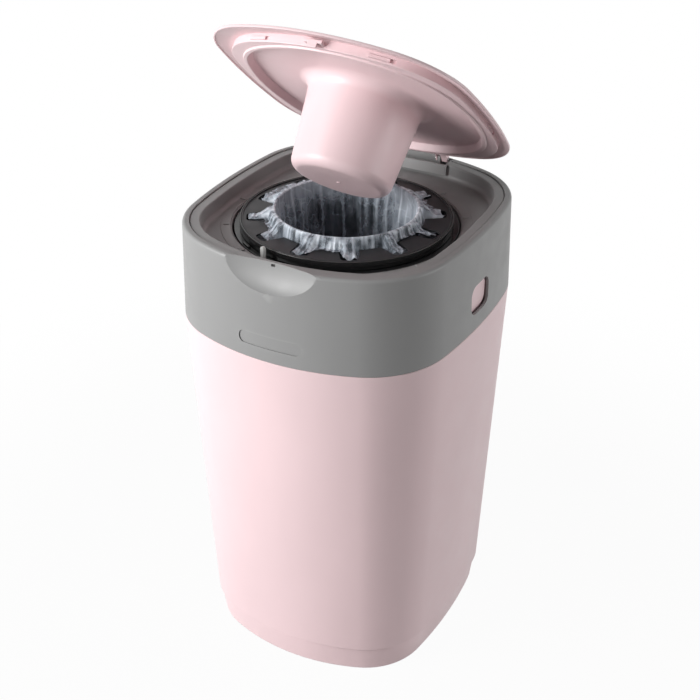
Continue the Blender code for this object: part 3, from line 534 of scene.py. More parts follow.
class Graph:
    """A node tree under construction."""

    def __init__(self, tree: bpy.types.NodeTree) -> None:
        """Work on a tree."""
        self.nodes = tree.nodes
        self.links = tree.links

    def fill(self, node: bpy.types.Node, inputs: Inputs) -> bpy.types.Node:
        """Give each input of a node its link or its value; a tuple is a colour."""
        for name, value in inputs.items():
            if isinstance(value, Socket):
                self.links.new(value, node.inputs[name])
            else:
                node.inputs[name].default_value = (*value, 1.0) if isinstance(value, tuple) else value
        return node

    def put(self, kind: str, inputs: Inputs) -> bpy.types.Node:
        """Add a node and fill its inputs."""
        return self.fill(self.nodes.new(kind), inputs)

    def maths(self, operation: str, *values: Socket | float) -> Socket:
        """Work a sum on up to three values."""
        node = self.put("ShaderNodeMath", dict(enumerate(values)))
        node.operation = operation
        return node.outputs["Value"]

    def seen(self) -> Socket:
        """A factor that is 1 for camera, glossy and transmission rays."""
        path = self.nodes.new("ShaderNodeLightPath").outputs
        near = self.maths('MAXIMUM', path["Is Camera Ray"], path["Is Glossy Ray"])
        return self.maths('MAXIMUM', near, path["Is Transmission Ray"])


class Recipe(Graph):
    """A material's node tree under construction, with a Principled shader at its end."""

    def __init__(self, name: str) -> None:
        """Start a material with only a shader and an output."""
        self.material = bpy.data.materials.new(name)
        self.material.use_nodes = True
        super().__init__(self.material.node_tree)
        self.shader = self.nodes["Principled BSDF"]
        self.place = self.nodes.new("ShaderNodeTexCoord").outputs["Object"]

    def set(self, **values: float | Colour) -> None:
        """Set the shader's own sockets; a name's underscores stand for spaces."""
        for name, value in values.items():
            socket = self.shader.inputs[name.replace("_", " ").title().replace("Ior", "IOR")]
            socket.default_value = (*value, 1.0) if isinstance(value, tuple) else value

    def grain(self, scale: float, detail: float = 2.0, stretch: Vector | None = None,
              source: Socket | None = None) -> Socket:
        """A noise over the piece.

        Args:
            scale: Features in a metre.
            detail: The octaves of the noise.
            stretch: How much finer it is along each axis.
            source: The coordinates to read, or None for the object's own.

        Returns:
            The socket that holds the noise, from 0 to 1.
        """
        place = source or self.place
        if stretch is not None:
            place = self.put("ShaderNodeMapping", {"Scale": stretch, "Vector": place}).outputs["Vector"]
        texture = self.put("ShaderNodeTexNoise", {"Scale": scale, "Detail": detail, "Vector": place})
        return texture.outputs["Fac"]

    def spread(self, source: Socket, low: float, high: float, start: float = 0.3,
               stop: float = 0.7) -> Socket:
        """Map a value from start..stop to low..high."""
        return self.put("ShaderNodeMapRange", {"From Min": start, "From Max": stop, "To Min": low,
                                               "To Max": high, "Value": source}).outputs["Result"]

    def blend(self, factor: Socket, low: Socket | Colour, high: Socket | Colour) -> Socket:
        """Mix two colours by a factor."""
        node = self.nodes.new("ShaderNodeMix")
        node.data_type = 'RGBA'
        colours = [row for row, socket in enumerate(node.inputs) if socket.type == 'RGBA']
        self.fill(node, {"Factor": factor, colours[0]: low, colours[1]: high})
        return next(socket for socket in node.outputs if socket.type == 'RGBA')

    def around(self, factor: Socket, colour: Colour, share: float) -> Socket:
        """A colour made darker by a share where a factor is 0, and lighter where it is 1."""
        return self.blend(factor, shade(colour, 1 - share), shade(colour, 1 + share))

    def weigh(self, part: Socket, share: float, rest: Socket) -> Socket:
        """Add a share of one value to another."""
        return self.maths('MULTIPLY_ADD', part, share, rest)

    def crest(self, value: Socket, width: float) -> Socket:
        """Thin lines, 1 where a value passes a half and 0 beyond a width on either side."""
        return self.spread(self.maths('PINGPONG', value, 0.5), 0, 1, 0.5 - width, 0.5)

    def relief(self, height: Socket, strength: float, distance: float, below: Socket | None = None) -> Socket:
        """Raise the surface by a height, on top of another relief where one is given."""
        node = self.put("ShaderNodeBump", {"Strength": strength, "Distance": distance, "Height": height})
        if below is not None:
            self.links.new(below, node.inputs["Normal"])
        return node.outputs["Normal"]

    def feed(self, name: str, source: Socket) -> None:
        """Link a value to one of the shader's sockets."""
        self.links.new(source, self.shader.inputs[name])


def shade(colour: Colour, share: float) -> Colour:
    """A colour made lighter or darker by a share."""
    return tuple(min(channel * share, 1.0) for channel in colour)


@dataclass(frozen=True)
class MouldedPlastic:
    """An injection-moulded plastic: fine spark-eroded grain, faint flow mottling and worn edges."""

    name: str
    colour: Colour
    roughness: float
    roughness_spread: float = 0.05
    grain_scale: float = 1500.0
    grain_relief: float = 0.00004
    mottle_scale: float = 14.0
    mottle_share: float = 0.025
    flow_stretch: float = 0.45
    wear_share: float = 0.06
    wear_start: float = 0.51
    wear_stop: float = 0.58
    polish_scale: float = 60.0
    grain_detail: float = 1.5
    grain_strength: float = 0.35
    specular: float = 0.42

    def material(self) -> bpy.types.Material:
        """Build the finish as a procedural material."""
        recipe = Recipe(self.name)
        flow = recipe.grain(self.mottle_scale, 3.0, Vector((1, 1, self.flow_stretch)))
        body = recipe.around(recipe.spread(flow, 0, 1), self.colour, self.mottle_share)
        edges = recipe.nodes.new("ShaderNodeNewGeometry").outputs["Pointiness"]
        worn = recipe.spread(edges, 0, self.wear_share, self.wear_start, self.wear_stop)
        recipe.feed("Base Color", recipe.blend(worn, body, (1.0, 1.0, 1.0)))
        polish = recipe.grain(self.polish_scale)
        recipe.feed("Roughness", recipe.spread(polish, self.roughness - self.roughness_spread,
                                               self.roughness + self.roughness_spread))
        texture = recipe.grain(self.grain_scale, self.grain_detail)
        recipe.feed("Normal", recipe.relief(texture, self.grain_strength, self.grain_relief))
        recipe.set(specular_ior_level=self.specular)
        return recipe.material


@dataclass(frozen=True)
class ThinFilm:
    """Thin blown film: nearly clear where it lies smooth, and milky along its creases."""

    name: str
    colour: Colour
    crease_colour: Colour
    clear: float = 0.08
    milky: float = 0.94
    roughness: float = 0.28
    streaks: float = 84.0
    streak_length: float = 3.0
    streak_share: float = 0.55
    crumple_scale: float = 190.0
    crumple_relief: float = 0.0012
    relief_strength: float = 0.7
    specular: float = 0.6
    crease_scale: float = 70.0
    crease_width: float = 0.04
    crease_share: float = 0.16

    def material(self) -> bpy.types.Material:
        """Build the finish; its streaks follow the film's own UV map, and its milk the film's attribute."""
        recipe = Recipe(self.name)
        along = recipe.nodes.new("ShaderNodeUVMap")
        along.uv_map = "film"
        milk = recipe.nodes.new("ShaderNodeAttribute")
        milk.attribute_name = "milk"
        drawn = Vector((self.streaks, self.streak_length, 1))
        streak = recipe.grain(1.0, 4.0, drawn, along.outputs["UV"])
        crumple = recipe.grain(self.crumple_scale, 3.0)
        crease = recipe.crest(recipe.grain(self.crease_scale, 2.0), self.crease_width)
        total = recipe.weigh(streak, self.streak_share, milk.outputs["Fac"])
        total = recipe.weigh(crease, self.crease_share, total)
        cover = recipe.spread(total, self.clear, self.milky, self.streak_share / 2, 1 + self.streak_share / 3)
        recipe.feed("Alpha", cover)
        recipe.feed("Base Color", recipe.blend(cover, self.colour, self.crease_colour))
        lines = recipe.relief(streak, self.relief_strength, self.crumple_relief)
        recipe.feed("Normal", recipe.relief(crumple, self.relief_strength, self.crumple_relief, lines))
        recipe.set(roughness=self.roughness, specular_ior_level=self.specular)
        return recipe.material


@dataclass(frozen=True)
class DrawnSteel:
    """A drawn steel pin with fine lines along it."""

    name: str
    colour: Colour = (0.56, 0.56, 0.57)
    roughness: float = 0.28
    roughness_spread: float = 0.07
    colour_spread: float = 0.1
    line_scale: float = 2600.0
    line_stretch: float = 0.05
    line_strength: float = 0.3
    line_relief: float = 0.00002

    def material(self) -> bpy.types.Material:
        """Build the finish as a procedural material."""
        recipe = Recipe(self.name)
        lines = recipe.grain(self.line_scale, stretch=Vector((self.line_stretch, 1, 1)))
        recipe.feed("Base Color", recipe.around(lines, self.colour, self.colour_spread))
        recipe.feed("Roughness", recipe.spread(lines, self.roughness - self.roughness_spread,
                                               self.roughness + self.roughness_spread))
        recipe.feed("Normal", recipe.relief(lines, self.line_strength, self.line_relief))
        recipe.set(metallic=1.0)
        return recipe.material


Finish = MouldedPlastic | ThinFilm | DrawnSteel


@dataclass
class Finishes:
    """Every finish of the bin, built once and shared by its pieces."""

    pink: MouldedPlastic = MouldedPlastic("pale_pink_moulding", (0.85, 0.648, 0.668), 0.4)
    grey: MouldedPlastic = MouldedPlastic("grey_moulding", (0.282, 0.282, 0.281), 0.44, grain_relief=0.00006,
                                          mottle_share=0.03)
    light_grey: MouldedPlastic = MouldedPlastic("light_grey_moulding", (0.56, 0.56, 0.55), 0.38)
    black: MouldedPlastic = MouldedPlastic("black_moulding", (0.012, 0.012, 0.0125), 0.22, wear_share=0.0,
                                           mottle_share=0.08, grain_relief=0.00001, specular=0.55)
    matt_black: MouldedPlastic = MouldedPlastic("matt_black_moulding", (0.021, 0.022, 0.024), 0.46,
                                                wear_share=0.0, mottle_share=0.1)
    film: ThinFilm = ThinFilm("crumpled_film", (0.52, 0.6, 0.7), (0.84, 0.89, 0.95))
    steel: DrawnSteel = DrawnSteel("drawn_steel")
    made: dict[str, bpy.types.Material] = field(default_factory=dict)

    def dress(self, piece: Piece, finish: Finish) -> None:
        """Give a new piece or a node of the frame its finish."""
        if finish.name not in self.made:
            self.made[finish.name] = finish.material()
        piece.data.materials.clear()
        piece.data.materials.append(self.made[finish.name])

    def deliver(self, piece: Piece, finish: Finish, slot: str, body: str, node: str) -> None:
        """Smooth and dress a new piece, hang it on its body and let it stand for its node.

        Args:
            piece: The finished piece.
            finish: Its finish.
            slot: The record's name for that material; not used.
            body: The body that carries it.
            node: The node that it replaces.
        """
        Hand.smooth(piece)
        self.dress(piece, finish)
        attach(piece, body)
        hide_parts(node)
        log.info("%s: %d faces, for %s on %s", piece.name, len(piece.data.polygons), node, body)


@dataclass
class Form:
    """The bin's own outline, and the heights and places that its mouldings share."""

    side_bulge: float = 0.0193
    end_bulge: float = 0.0438
    rim_corner: float = 0.078
    floor_corner: float = 0.066
    side_spread: float = 0.0018
    end_spread: float = 0.002
    floor_side_taper: float = 0.0152
    floor_end_taper: float = 0.0168
    seat_drop: float = 0.001
    bowl_depth: float = 0.0148
    collar_wall: float = 0.0024
    seat_thickness: float = 0.002
    collar_low: Vector = field(default_factory=lambda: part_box("collar")[0])
    collar_high: Vector = field(default_factory=lambda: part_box("collar")[1])
    drum_low: Vector = field(default_factory=lambda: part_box("carrier")[0])
    drum_high: Vector = field(default_factory=lambda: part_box("carrier")[1])

    @cached_property
    def base(self) -> float:
        """The height where the collar stands on the tub."""
        return self.collar_low.z

    @cached_property
    def rim(self) -> float:
        """The height of the collar's rim."""
        return self.collar_high.z

    @cached_property
    def seat(self) -> float:
        """The height of the lid's seat."""
        return self.rim - self.seat_drop

    @cached_property
    def deck(self) -> float:
        """The height of the bowl's floor."""
        return self.rim - self.bowl_depth

    @cached_property
    def centre_y(self) -> float:
        """Where the turntable's axis stands on Y."""
        return (self.drum_low.y + self.drum_high.y) / 2

    @cached_property
    def rim_half_width(self) -> float:
        """Half of the rim's width."""
        return self.collar_high.x - self.side_spread

    @cached_property
    def rim_half_depth(self) -> float:
        """Half of the rim's depth."""
        return self.collar_high.y - self.end_spread

    def outline(self, z: float) -> Outline:
        """The outer outline at a height: it widens from the floor to the collar and closes a little above."""
        if z < self.base:
            share = z / self.base
            half_width = self.collar_high.x - self.floor_side_taper * (1 - share)
            half_depth = self.collar_high.y - self.floor_end_taper * (1 - share)
            corner = mix(self.floor_corner, self.rim_corner, share)
        else:
            share = (z - self.base) / (self.rim - self.base)
            half_width = self.collar_high.x - self.side_spread * share
            half_depth = self.collar_high.y - self.end_spread * share
            corner = self.rim_corner
        scale = half_width / self.rim_half_width
        return Outline(half_width, half_depth, self.side_bulge * scale, self.end_bulge * scale, corner)

    def ring(self, z: float, inset: float = 0.0) -> Ring:
        """The outer outline at a height, drawn in by an inset."""
        return self.outline(z).ring(z, inset)

    def rings(self, section: Sequence[Point]) -> list[Ring]:
        """The outer outline along a section of (inset, height) points."""
        return [self.ring(z, inset) for inset, z in section]

    def side(self, z: float, inset: float) -> float:
        """How far the drawn-in surface stands from x = 0 at the side."""
        return self.outline(z).half_width - inset

    def end(self, z: float, inset: float) -> float:
        """How far the drawn-in surface stands from y = 0 at the back."""
        return self.outline(z).half_depth - inset

    def about_axis(self, turn: float, z: float = 0.0) -> Matrix:
        """The move to a bearing, in radians, about the turntable's axis."""
        return Matrix.Translation((0, self.centre_y, z)) @ Matrix.Rotation(turn, 4, 'Z')

    def lid_outline(self, side: float, front: float, back: float) -> Outline:
        """An outline of the lid: the rim's own, drawn in at its sides, its front and its back."""
        half_width = self.rim_half_width - side
        share = half_width / self.rim_half_width
        return Outline(half_width, self.rim_half_depth - (front + back) / 2, self.side_bulge * share,
                       self.end_bulge * share, self.rim_corner * share, (front - back) / 2)


@dataclass
class Tub:
    """The tapered container with its stepped foot, and the neck that the top stands over."""

    form: Form
    finishes: Finishes
    wall: float = 0.0025
    floor: float = 0.003
    foot_height: float = 0.029
    foot_inset: float = 0.0018
    foot_draft: float = 0.0022
    foot_round: float = 0.003
    foot_rim_width: float = 0.01
    foot_recess: float = 0.003
    floor_fillet: float = 0.008
    neck_wall: float = 0.0022
    neck_clearance: float = 0.0006
    lip_round: float = 0.0006
    step_round: float = 0.0007
    slot_gap: float = 0.0005
    longest_run: float = 0.02

    def mould(self) -> Piece:
        """Draw the wall up from the foot, over the shoulder and the neck, and down to the floor inside."""
        neck_inset = self.form.collar_wall + self.neck_clearance
        neck_inner = neck_inset + self.neck_wall
        shoulder = self.form.base - gap
        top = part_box("tub")[1].z
        foot_low = self.foot_inset + self.foot_draft
        floor_inset = foot_low + self.wall
        floor_top = self.foot_recess + self.floor
        rim_inset = foot_low + self.foot_rim_width
        corners = [
            Corner(rim_inset, self.foot_recess), Corner(rim_inset, 0, self.step_round),
            Corner(foot_low, 0, self.foot_round),
            Corner(self.foot_inset, self.foot_height - self.foot_inset / 2, self.step_round / 2),
            Corner(0, self.foot_height, self.step_round / 2), Corner(0, shoulder, self.lip_round),
            Corner(neck_inset, shoulder, self.lip_round), Corner(neck_inset, top, self.lip_round),
            Corner(neck_inner, top, self.lip_round), Corner(neck_inner, shoulder - self.wall, self.lip_round),
            Corner(self.wall, shoulder - self.wall - neck_inner, self.lip_round),
            Corner(self.wall, self.foot_height + self.wall, self.foot_round),
            Corner(floor_inset, self.foot_height, self.foot_round),
            Corner(floor_inset, floor_top, self.floor_fillet),
            Corner(floor_inset + 2 * self.floor_fillet, floor_top),
        ]
        section = rounded(corners, closed=False, longest=self.longest_run)
        return Hand.loft("tub_moulding", self.form.rings(section), Ends.CAPPED)

    def cut_tab_slots(self, piece: Piece) -> None:
        """Cut the two slots of the neck that the release tabs stand in."""
        for side in Side:
            node = "release_tab_" + side.name.lower()
            low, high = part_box(node)
            reach = self.form.collar_wall + self.neck_clearance
            inner = self.form.side(self.form.base, reach + self.neck_wall)
            outer = self.form.side(self.form.base, 0) + reach
            corner_low = Vector((inner - overrun, low.y - self.slot_gap, low.z - gap))
            corner_high = Vector((outer, high.y + self.slot_gap, high.z + overrun))
            slot = Hand.block("tab_slot", corner_low, corner_high)
            if side is Side.LEFT:
                Hand.mirror(slot)
            Hand.cut(piece, slot)

    def build(self) -> None:
        """Model the tub and hang it in the frame."""
        piece = self.mould()
        self.cut_tab_slots(piece)
        self.finishes.deliver(piece, self.finishes.pink, "pale_pink_plastic", "tub", "tub")


@dataclass
class ReleaseTab:
    """A sprung tongue of the tub's neck, with the pad that shows in the collar's window."""

    form: Form
    finishes: Finishes
    collar: "Collar"
    side: Side
    thickness: float = 0.002
    pad_margin: float = 0.001
    pad_stand: float = 0.0012
    blade_round: float = 0.0005
    pad_round: float = 0.0007

    def build(self) -> None:
        """Model the blade and its pad as one moulding."""
        node = "release_tab_" + self.side.name.lower()
        low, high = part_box(node)
        face = max(abs(low.x), abs(high.x))
        outer = face - self.pad_stand
        blade = Hand.block(node + "_moulding", (outer - self.thickness, low.y, low.z),
                           (outer, high.y, high.z), self.blade_round)
        depth = self.pad_stand + self.thickness / 2
        outline, place = self.collar.window(face - depth / 2, self.pad_margin)
        pad = Hand.prism("pad", outline, depth, place, self.pad_round)
        Hand.add(blade, pad)
        if self.side is Side.LEFT:
            Hand.mirror(blade)
        self.finishes.deliver(blade, self.finishes.pink, "pale_pink_plastic", node, node)


@dataclass
class Scoop:
    """The ellipsoid that dishes the front of the rim for the fingers."""

    form: Form
    half_width: float = 0.06
    half_depth: float = 0.019
    half_height: float = 0.0315
    centre_out: float = 0.0083
    centre_up: float = 0.0042
    wall: float = 0.0022
    segments: int = 128
    rings: int = 64

    def shape(self, grow: float = 0.0) -> Piece:
        """A ball drawn out to the scoop's size, grown on every side by a length."""
        Hand.rest()
        centre = (0, -self.form.end(self.form.rim, 0) - self.centre_out, self.form.rim + self.centre_up)
        size = (self.half_width + grow, self.half_depth + grow, self.half_height + grow)
        bpy.ops.mesh.primitive_uv_sphere_add(segments=self.segments, ring_count=self.rings, radius=1,
                                             location=centre, scale=size)
        return Hand.take("scoop_shape")


@dataclass
class Collar:
    """The grey outer ring of the lift-off top, with its finger scoop, windows and bare badge place."""

    form: Form
    finishes: Finishes
    scoop: Scoop
    round: float = 0.003
    ring_width: float = 0.0062
    shelf_width: float = 0.0062
    shelf_thickness: float = 0.0022
    haunch: float = 0.005
    lip_round: float = 0.0005
    backing_depth: float = 0.0382
    window_width: float = 0.036
    window_height: float = 0.0275
    window_radius: float = 0.009
    window_centre_height: float = 0.0295
    window_centre_y: float = -0.002
    latch_hole_width: float = 0.004
    latch_hole_height: float = 0.0024
    latch_hole_drop: float = 0.0016
    latch_hole_depth: float = 0.006
    badge_width: float = 0.06
    badge_height: float = 0.0115
    badge_depth: float = 0.0007
    badge_edge: float = 0.0006
    badge_centre_height: float = 0.018
    facets: int = 5
    longest_run: float = 0.005

    def outside(self, inset: float, base: float) -> list[Ring]:
        """Rings of the outer face from a base height up over the rounded top edge, drawn in by an inset."""
        corners = [Corner(inset, base), Corner(inset, self.form.rim - inset, self.round),
                   Corner(self.round + inset, self.form.rim - inset)]
        return self.form.rings(rounded(corners, closed=False, facets=self.facets + 1))

    def mould(self) -> Piece:
        """Draw the ring's wall, rim and inner shelf as one closed section."""
        wall = self.form.collar_wall
        shelf_top = self.form.seat - self.form.seat_thickness - gap
        shelf_edge = self.ring_width + self.shelf_width
        under = shelf_top - self.shelf_thickness
        corners = [
            Corner(0, self.form.base, self.lip_round), Corner(0, self.form.rim, self.round),
            Corner(self.ring_width, self.form.rim, self.lip_round), Corner(self.ring_width, shelf_top),
            Corner(shelf_edge, shelf_top), Corner(shelf_edge, under),
            Corner(wall + self.haunch, under, self.round), Corner(wall, under - self.haunch, self.round),
            Corner(wall, self.form.base, self.lip_round),
        ]
        section = rounded(corners, closed=True, facets=self.facets, longest=self.longest_run)
        return Hand.loft("collar_moulding", self.form.rings(section), Ends.JOINED)

    def dish(self, piece: Piece) -> None:
        """Back the scoop with a wall of its own and cut it."""
        backing = self.scoop.shape(self.scoop.wall)
        outside = self.outside(self.lip_round / 2, self.form.rim - self.backing_depth)
        Hand.combine(backing, Hand.loft("backing_limit", outside, Ends.CAPPED), Joining.INTERSECT)
        Hand.add(piece, backing)
        Hand.cut(piece, self.scoop.shape())
        back = self.scoop.half_depth - self.scoop.centre_out - self.form.end(self.form.rim, 0)
        top = self.form.rim - self.latch_hole_drop
        hole = Hand.block("latch_hole", (-self.latch_hole_width / 2, back - self.latch_hole_depth,
                                         top - self.latch_hole_height),
                          (self.latch_hole_width / 2, back + self.latch_hole_depth / 3, top), self.lip_round)
        Hand.cut(piece, hole)

    def window(self, x: float, margin: float = 0.0) -> tuple[list[Point], Matrix]:
        """A window's outline, drawn in by a margin, and its place at a distance from x = 0."""
        outline = rounded_rectangle(self.window_width - 2 * margin, self.window_height - 2 * margin,
                                    self.window_radius - margin)
        return outline, facing_x(x, self.window_centre_y, self.form.base + self.window_centre_height)

    def open_windows(self, piece: Piece) -> None:
        """Cut the window that each release tab shows in."""
        for side in Side:
            outline, place = self.window(side.value * self.form.side(self.form.base, 0))
            Hand.cut(piece, Hand.prism("window", outline, self.form.collar_wall + 2 * overrun, place))

    def sink_badge_place(self, piece: Piece) -> None:
        """Sink a plain pill-shaped place in the front wall, to one depth along its curve."""
        radius = self.badge_height / 2 - self.badge_edge
        outline = rounded_rectangle(self.badge_width, self.badge_height, radius)
        place = facing_y(0, -self.form.end(self.form.rim, 0), self.form.base + self.badge_centre_height)
        slab = Hand.prism("badge_place", outline, self.form.end_bulge, place)
        low = self.form.base - overrun
        core = Hand.loft("badge_floor", [self.form.ring(low, self.badge_depth),
                                         self.form.ring(self.form.rim, self.badge_depth)], Ends.CAPPED)
        Hand.cut(slab, core)
        Hand.cut(piece, slab)

    def build(self, pocket: "HingePocket") -> None:
        """Model the collar round the hinge pocket and hang it in the frame."""
        piece = self.mould()
        self.dish(piece)
        self.open_windows(piece)
        self.sink_badge_place(piece)
        low, high = pocket.block(gap)
        Hand.cut(piece, Hand.block("pocket", low, high + Vector((0, 0, overrun))))
        self.finishes.deliver(piece, self.finishes.grey, "grey_plastic", "top_unit", "collar")


@dataclass
class HingePocket:
    """The notch at the back of the deck that the lid's lugs turn in, and its two brackets."""

    form: Form
    half_width: float = 0.0362
    depth: float = 0.0068
    floor: float = 0.0045
    front: float = 0.011
    back: float = 0.0037
    wall: float = 0.002
    lug_x: float = 0.0312
    lug_width: float = 0.006
    side_clearance: float = 0.0004
    bracket_width: float = 0.003
    bracket_radius: float = 0.0036
    pin_clearance: float = 0.0003
    edge_round: float = 0.0006
    bore_facets: int = 36
    eye_facets: int = 16
    hinge: Vector = field(default_factory=lambda: Vector(joint_named("lid_hinge")["pos_m"]))

    def block(self, grow: float = 0.0) -> tuple[Vector, Vector]:
        """The corners of the solid that the pocket is cut in, grown by a length."""
        low = Vector((-self.half_width - self.wall - grow, self.hinge.y - self.front - self.wall - grow,
                      self.hinge.z - self.depth - self.floor - grow))
        high = Vector((self.half_width + self.wall + grow, self.hinge.y + self.back + grow,
                       self.form.seat + grow))
        return low, high

    def bracket(self, side: Side) -> Piece:
        """An ear on the pocket's floor with a round top about the hinge's axis, bored for its pin."""
        outer = self.lug_x - self.lug_width / 2 - self.side_clearance
        inner = outer - self.bracket_width
        foot = self.hinge.z - self.depth - self.edge_round
        points = arc((self.hinge.y, self.hinge.z), self.bracket_radius, 0, 180, self.eye_facets)
        points += [(self.hinge.y - self.bracket_radius, foot), (self.hinge.y + self.bracket_radius, foot)]
        place = facing_x(side.value * (inner + outer) / 2, 0, 0)
        ear = Hand.prism("bracket", points, self.bracket_width, place, self.edge_round / 2)
        return Hand.cut(ear, self.bore(side, self.bracket_width, place))

    def bore(self, side: Side, width: float, place: Matrix) -> Piece:
        """A cutter for the pin's hole through a bracket or a lug of some width."""
        pin_low, pin_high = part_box("hinge_pin_" + side.name.lower())
        radius = (pin_high.z - pin_low.z) / 2 + self.pin_clearance
        last = 360 - 360 / self.bore_facets
        outline = arc((self.hinge.y, self.hinge.z), radius, 0, last, self.bore_facets - 1)
        return Hand.prism("bore", outline, width * 2, place)

    def add_to(self, deck: Piece) -> None:
        """Join the pocket's block to the deck, hollow it and stand the brackets in it."""
        low, high = self.block()
        Hand.add(deck, Hand.block("pocket_block", low, high))
        hollow_low = Vector((-self.half_width, self.hinge.y - self.front, self.hinge.z - self.depth))
        hollow_high = Vector((self.half_width, high.y + overrun, high.z + overrun))
        Hand.cut(deck, Hand.block("pocket_hollow", hollow_low, hollow_high, self.edge_round))
        for side in Side:
            Hand.add(deck, self.bracket(side))


@dataclass
class Deck:
    """The grey inner bowl: the lid's seat, the dished floor with its ticks and the turntable's well."""

    form: Form
    finishes: Finishes
    scoop: Scoop
    seat_outer: float = 0.0068
    seat_width: float = 0.0074
    edge: float = 0.0006
    wall_slope: float = 0.001
    wall: float = 0.002
    fillet: float = 0.0088
    fall: float = 0.0007
    well_clearance: float = 0.0015
    well_depth: float = 0.018
    well_ledge: float = 0.0055
    ledge_thickness: float = 0.002
    well_wall: float = 0.002
    tick_count: int = 12
    step_facets: int = 192
    step_radius: float = 0.112
    step_height: float = 0.0007
    tick_radius: float = 0.1062
    tick_length: float = 0.0052
    tick_width: float = 0.0013
    tick_height: float = 0.0009
    tick_turn: float = 1.8
    pawl_turn: float = -105.0
    pawl_out: float = 0.0006
    pawl_width: float = 0.0046
    pawl_thickness: float = 0.0031
    pawl_travel: float = 0.0015
    latch_slot_width: float = 0.012
    latch_slot_height: float = 0.003
    latch_slot_drop: float = 0.003
    facets: int = 8
    bowl_run: float = 0.004
    well_run: float = 0.006
    floor_shares: tuple[float, ...] = (0.3, 0.6)

    @cached_property
    def well_radius(self) -> float:
        """The radius of the well's edge."""
        return node_radius("carrier") + self.well_clearance

    def pawl_place(self) -> Matrix:
        """The pawl's place on the deck, with X pointing away from the turntable's axis."""
        axis = self.form.about_axis(radians(self.pawl_turn), self.form.deck)
        return axis @ Matrix.Translation((self.well_radius + self.pawl_out, 0, 0))

    def mould(self) -> Piece:
        """Draw the closed section that runs from the seat down to the well's ledge and back beneath."""
        form = self.form
        underside = form.seat - form.seat_thickness
        seat_inner = self.seat_outer + self.seat_width
        wall_inset = seat_inner + 2 * self.edge
        low_wall = wall_inset + self.wall_slope
        corners = [
            Corner(self.seat_outer, underside), Corner(self.seat_outer, form.seat, self.edge),
            Corner(wall_inset, form.seat, 2 * self.edge),
            Corner(low_wall, form.deck, self.fillet), Corner(low_wall + self.fillet, form.deck),
        ]
        rings = form.rings(rounded(corners, closed=False, facets=self.facets, longest=self.bowl_run))
        guide = rings[0]
        level = form.deck - self.fall
        ledge_top = form.deck - self.well_depth
        ledge_low = ledge_top - self.ledge_thickness
        skirt = self.well_radius + self.well_wall
        bore = self.well_radius - self.well_ledge
        well = [
            Corner(self.well_radius + self.well_wall, level), Corner(self.well_radius, level, self.edge),
            Corner(self.well_radius, ledge_top, self.edge), Corner(bore, ledge_top, self.edge / 2),
            Corner(bore, ledge_low, self.edge / 2), Corner(skirt, ledge_low, self.edge),
            Corner(skirt, level - self.wall),
        ]
        circles = [circle_like(guide, radius, z, form.centre_y)
                   for radius, z in rounded(well, closed=False, longest=self.well_run)]
        rings += [between(rings[-1], circles[0], share) for share in self.floor_shares]
        rings += circles
        under = [(low_wall + self.fillet, form.deck - self.wall),
                 (low_wall - self.wall / 2, form.deck + self.edge),
                 (low_wall - self.wall, form.deck + self.fillet), (wall_inset - self.wall, underside)]
        rings += form.rings(under)
        return Hand.loft("deck_moulding", rings, Ends.JOINED)

    def add_ticks(self, piece: Piece) -> None:
        """Raise a short tick on the floor for each click of a full twist."""
        level = self.form.deck - self.fall
        height = self.step_height
        inner = self.well_radius + 2 * self.edge
        step = rounded([Corner(inner, level - self.edge), Corner(self.step_radius, level - self.edge),
                        Corner(self.step_radius - height, level + height, height),
                        Corner(inner, level + height, height)], closed=True, facets=3)
        Hand.add(piece, Hand.turn("step", step, self.step_facets, self.form.centre_y))
        level += self.step_height
        ticks = []
        for index in range(self.tick_count):
            tick = Hand.block("tick", (self.tick_radius - self.tick_length / 2, -self.tick_width / 2,
                                       level - self.tick_height),
                              (self.tick_radius + self.tick_length / 2, self.tick_width / 2,
                               level + self.tick_height), self.tick_width / 4, 2)
            turn = radians(self.tick_turn) + 2 * pi * index / self.tick_count
            ticks.append(Hand.settle(tick, self.form.about_axis(turn)))
        Hand.add(piece, Hand.join(ticks))

    def cut_slots(self, piece: Piece) -> None:
        """Cut the pawl's slot at the well's edge and the latch's slot in the front wall."""
        outline = rounded_rectangle(self.pawl_thickness + self.pawl_travel + 2 * gap,
                                    self.pawl_width + 2 * gap, gap, 3)
        depth = self.well_depth + self.ledge_thickness + 2 * overrun
        place = self.pawl_place() @ Matrix.Translation((self.pawl_travel / 2, 0, overrun - depth / 2))
        Hand.cut(piece, Hand.prism("pawl_slot", outline, depth, place))
        seat_inner = self.seat_outer + self.seat_width
        front = -self.form.end(self.form.seat, seat_inner + 2 * self.edge)
        top = self.form.seat - self.latch_slot_drop
        slot = Hand.block("latch_slot", (-self.latch_slot_width / 2, front - overrun / 2,
                                         top - self.latch_slot_height),
                          (self.latch_slot_width / 2, front + overrun, top), self.edge / 2)
        Hand.cut(piece, slot)

    def build(self, pocket: HingePocket) -> None:
        """Model the deck with the hinge pocket in it and hang it in the frame."""
        piece = self.mould()
        Hand.cut(piece, self.scoop.shape(self.scoop.wall + gap))
        pocket.add_to(piece)
        self.cut_slots(piece)
        self.add_ticks(piece)
        self.finishes.deliver(piece, self.finishes.grey, "grey_plastic", "top_unit", "deck")


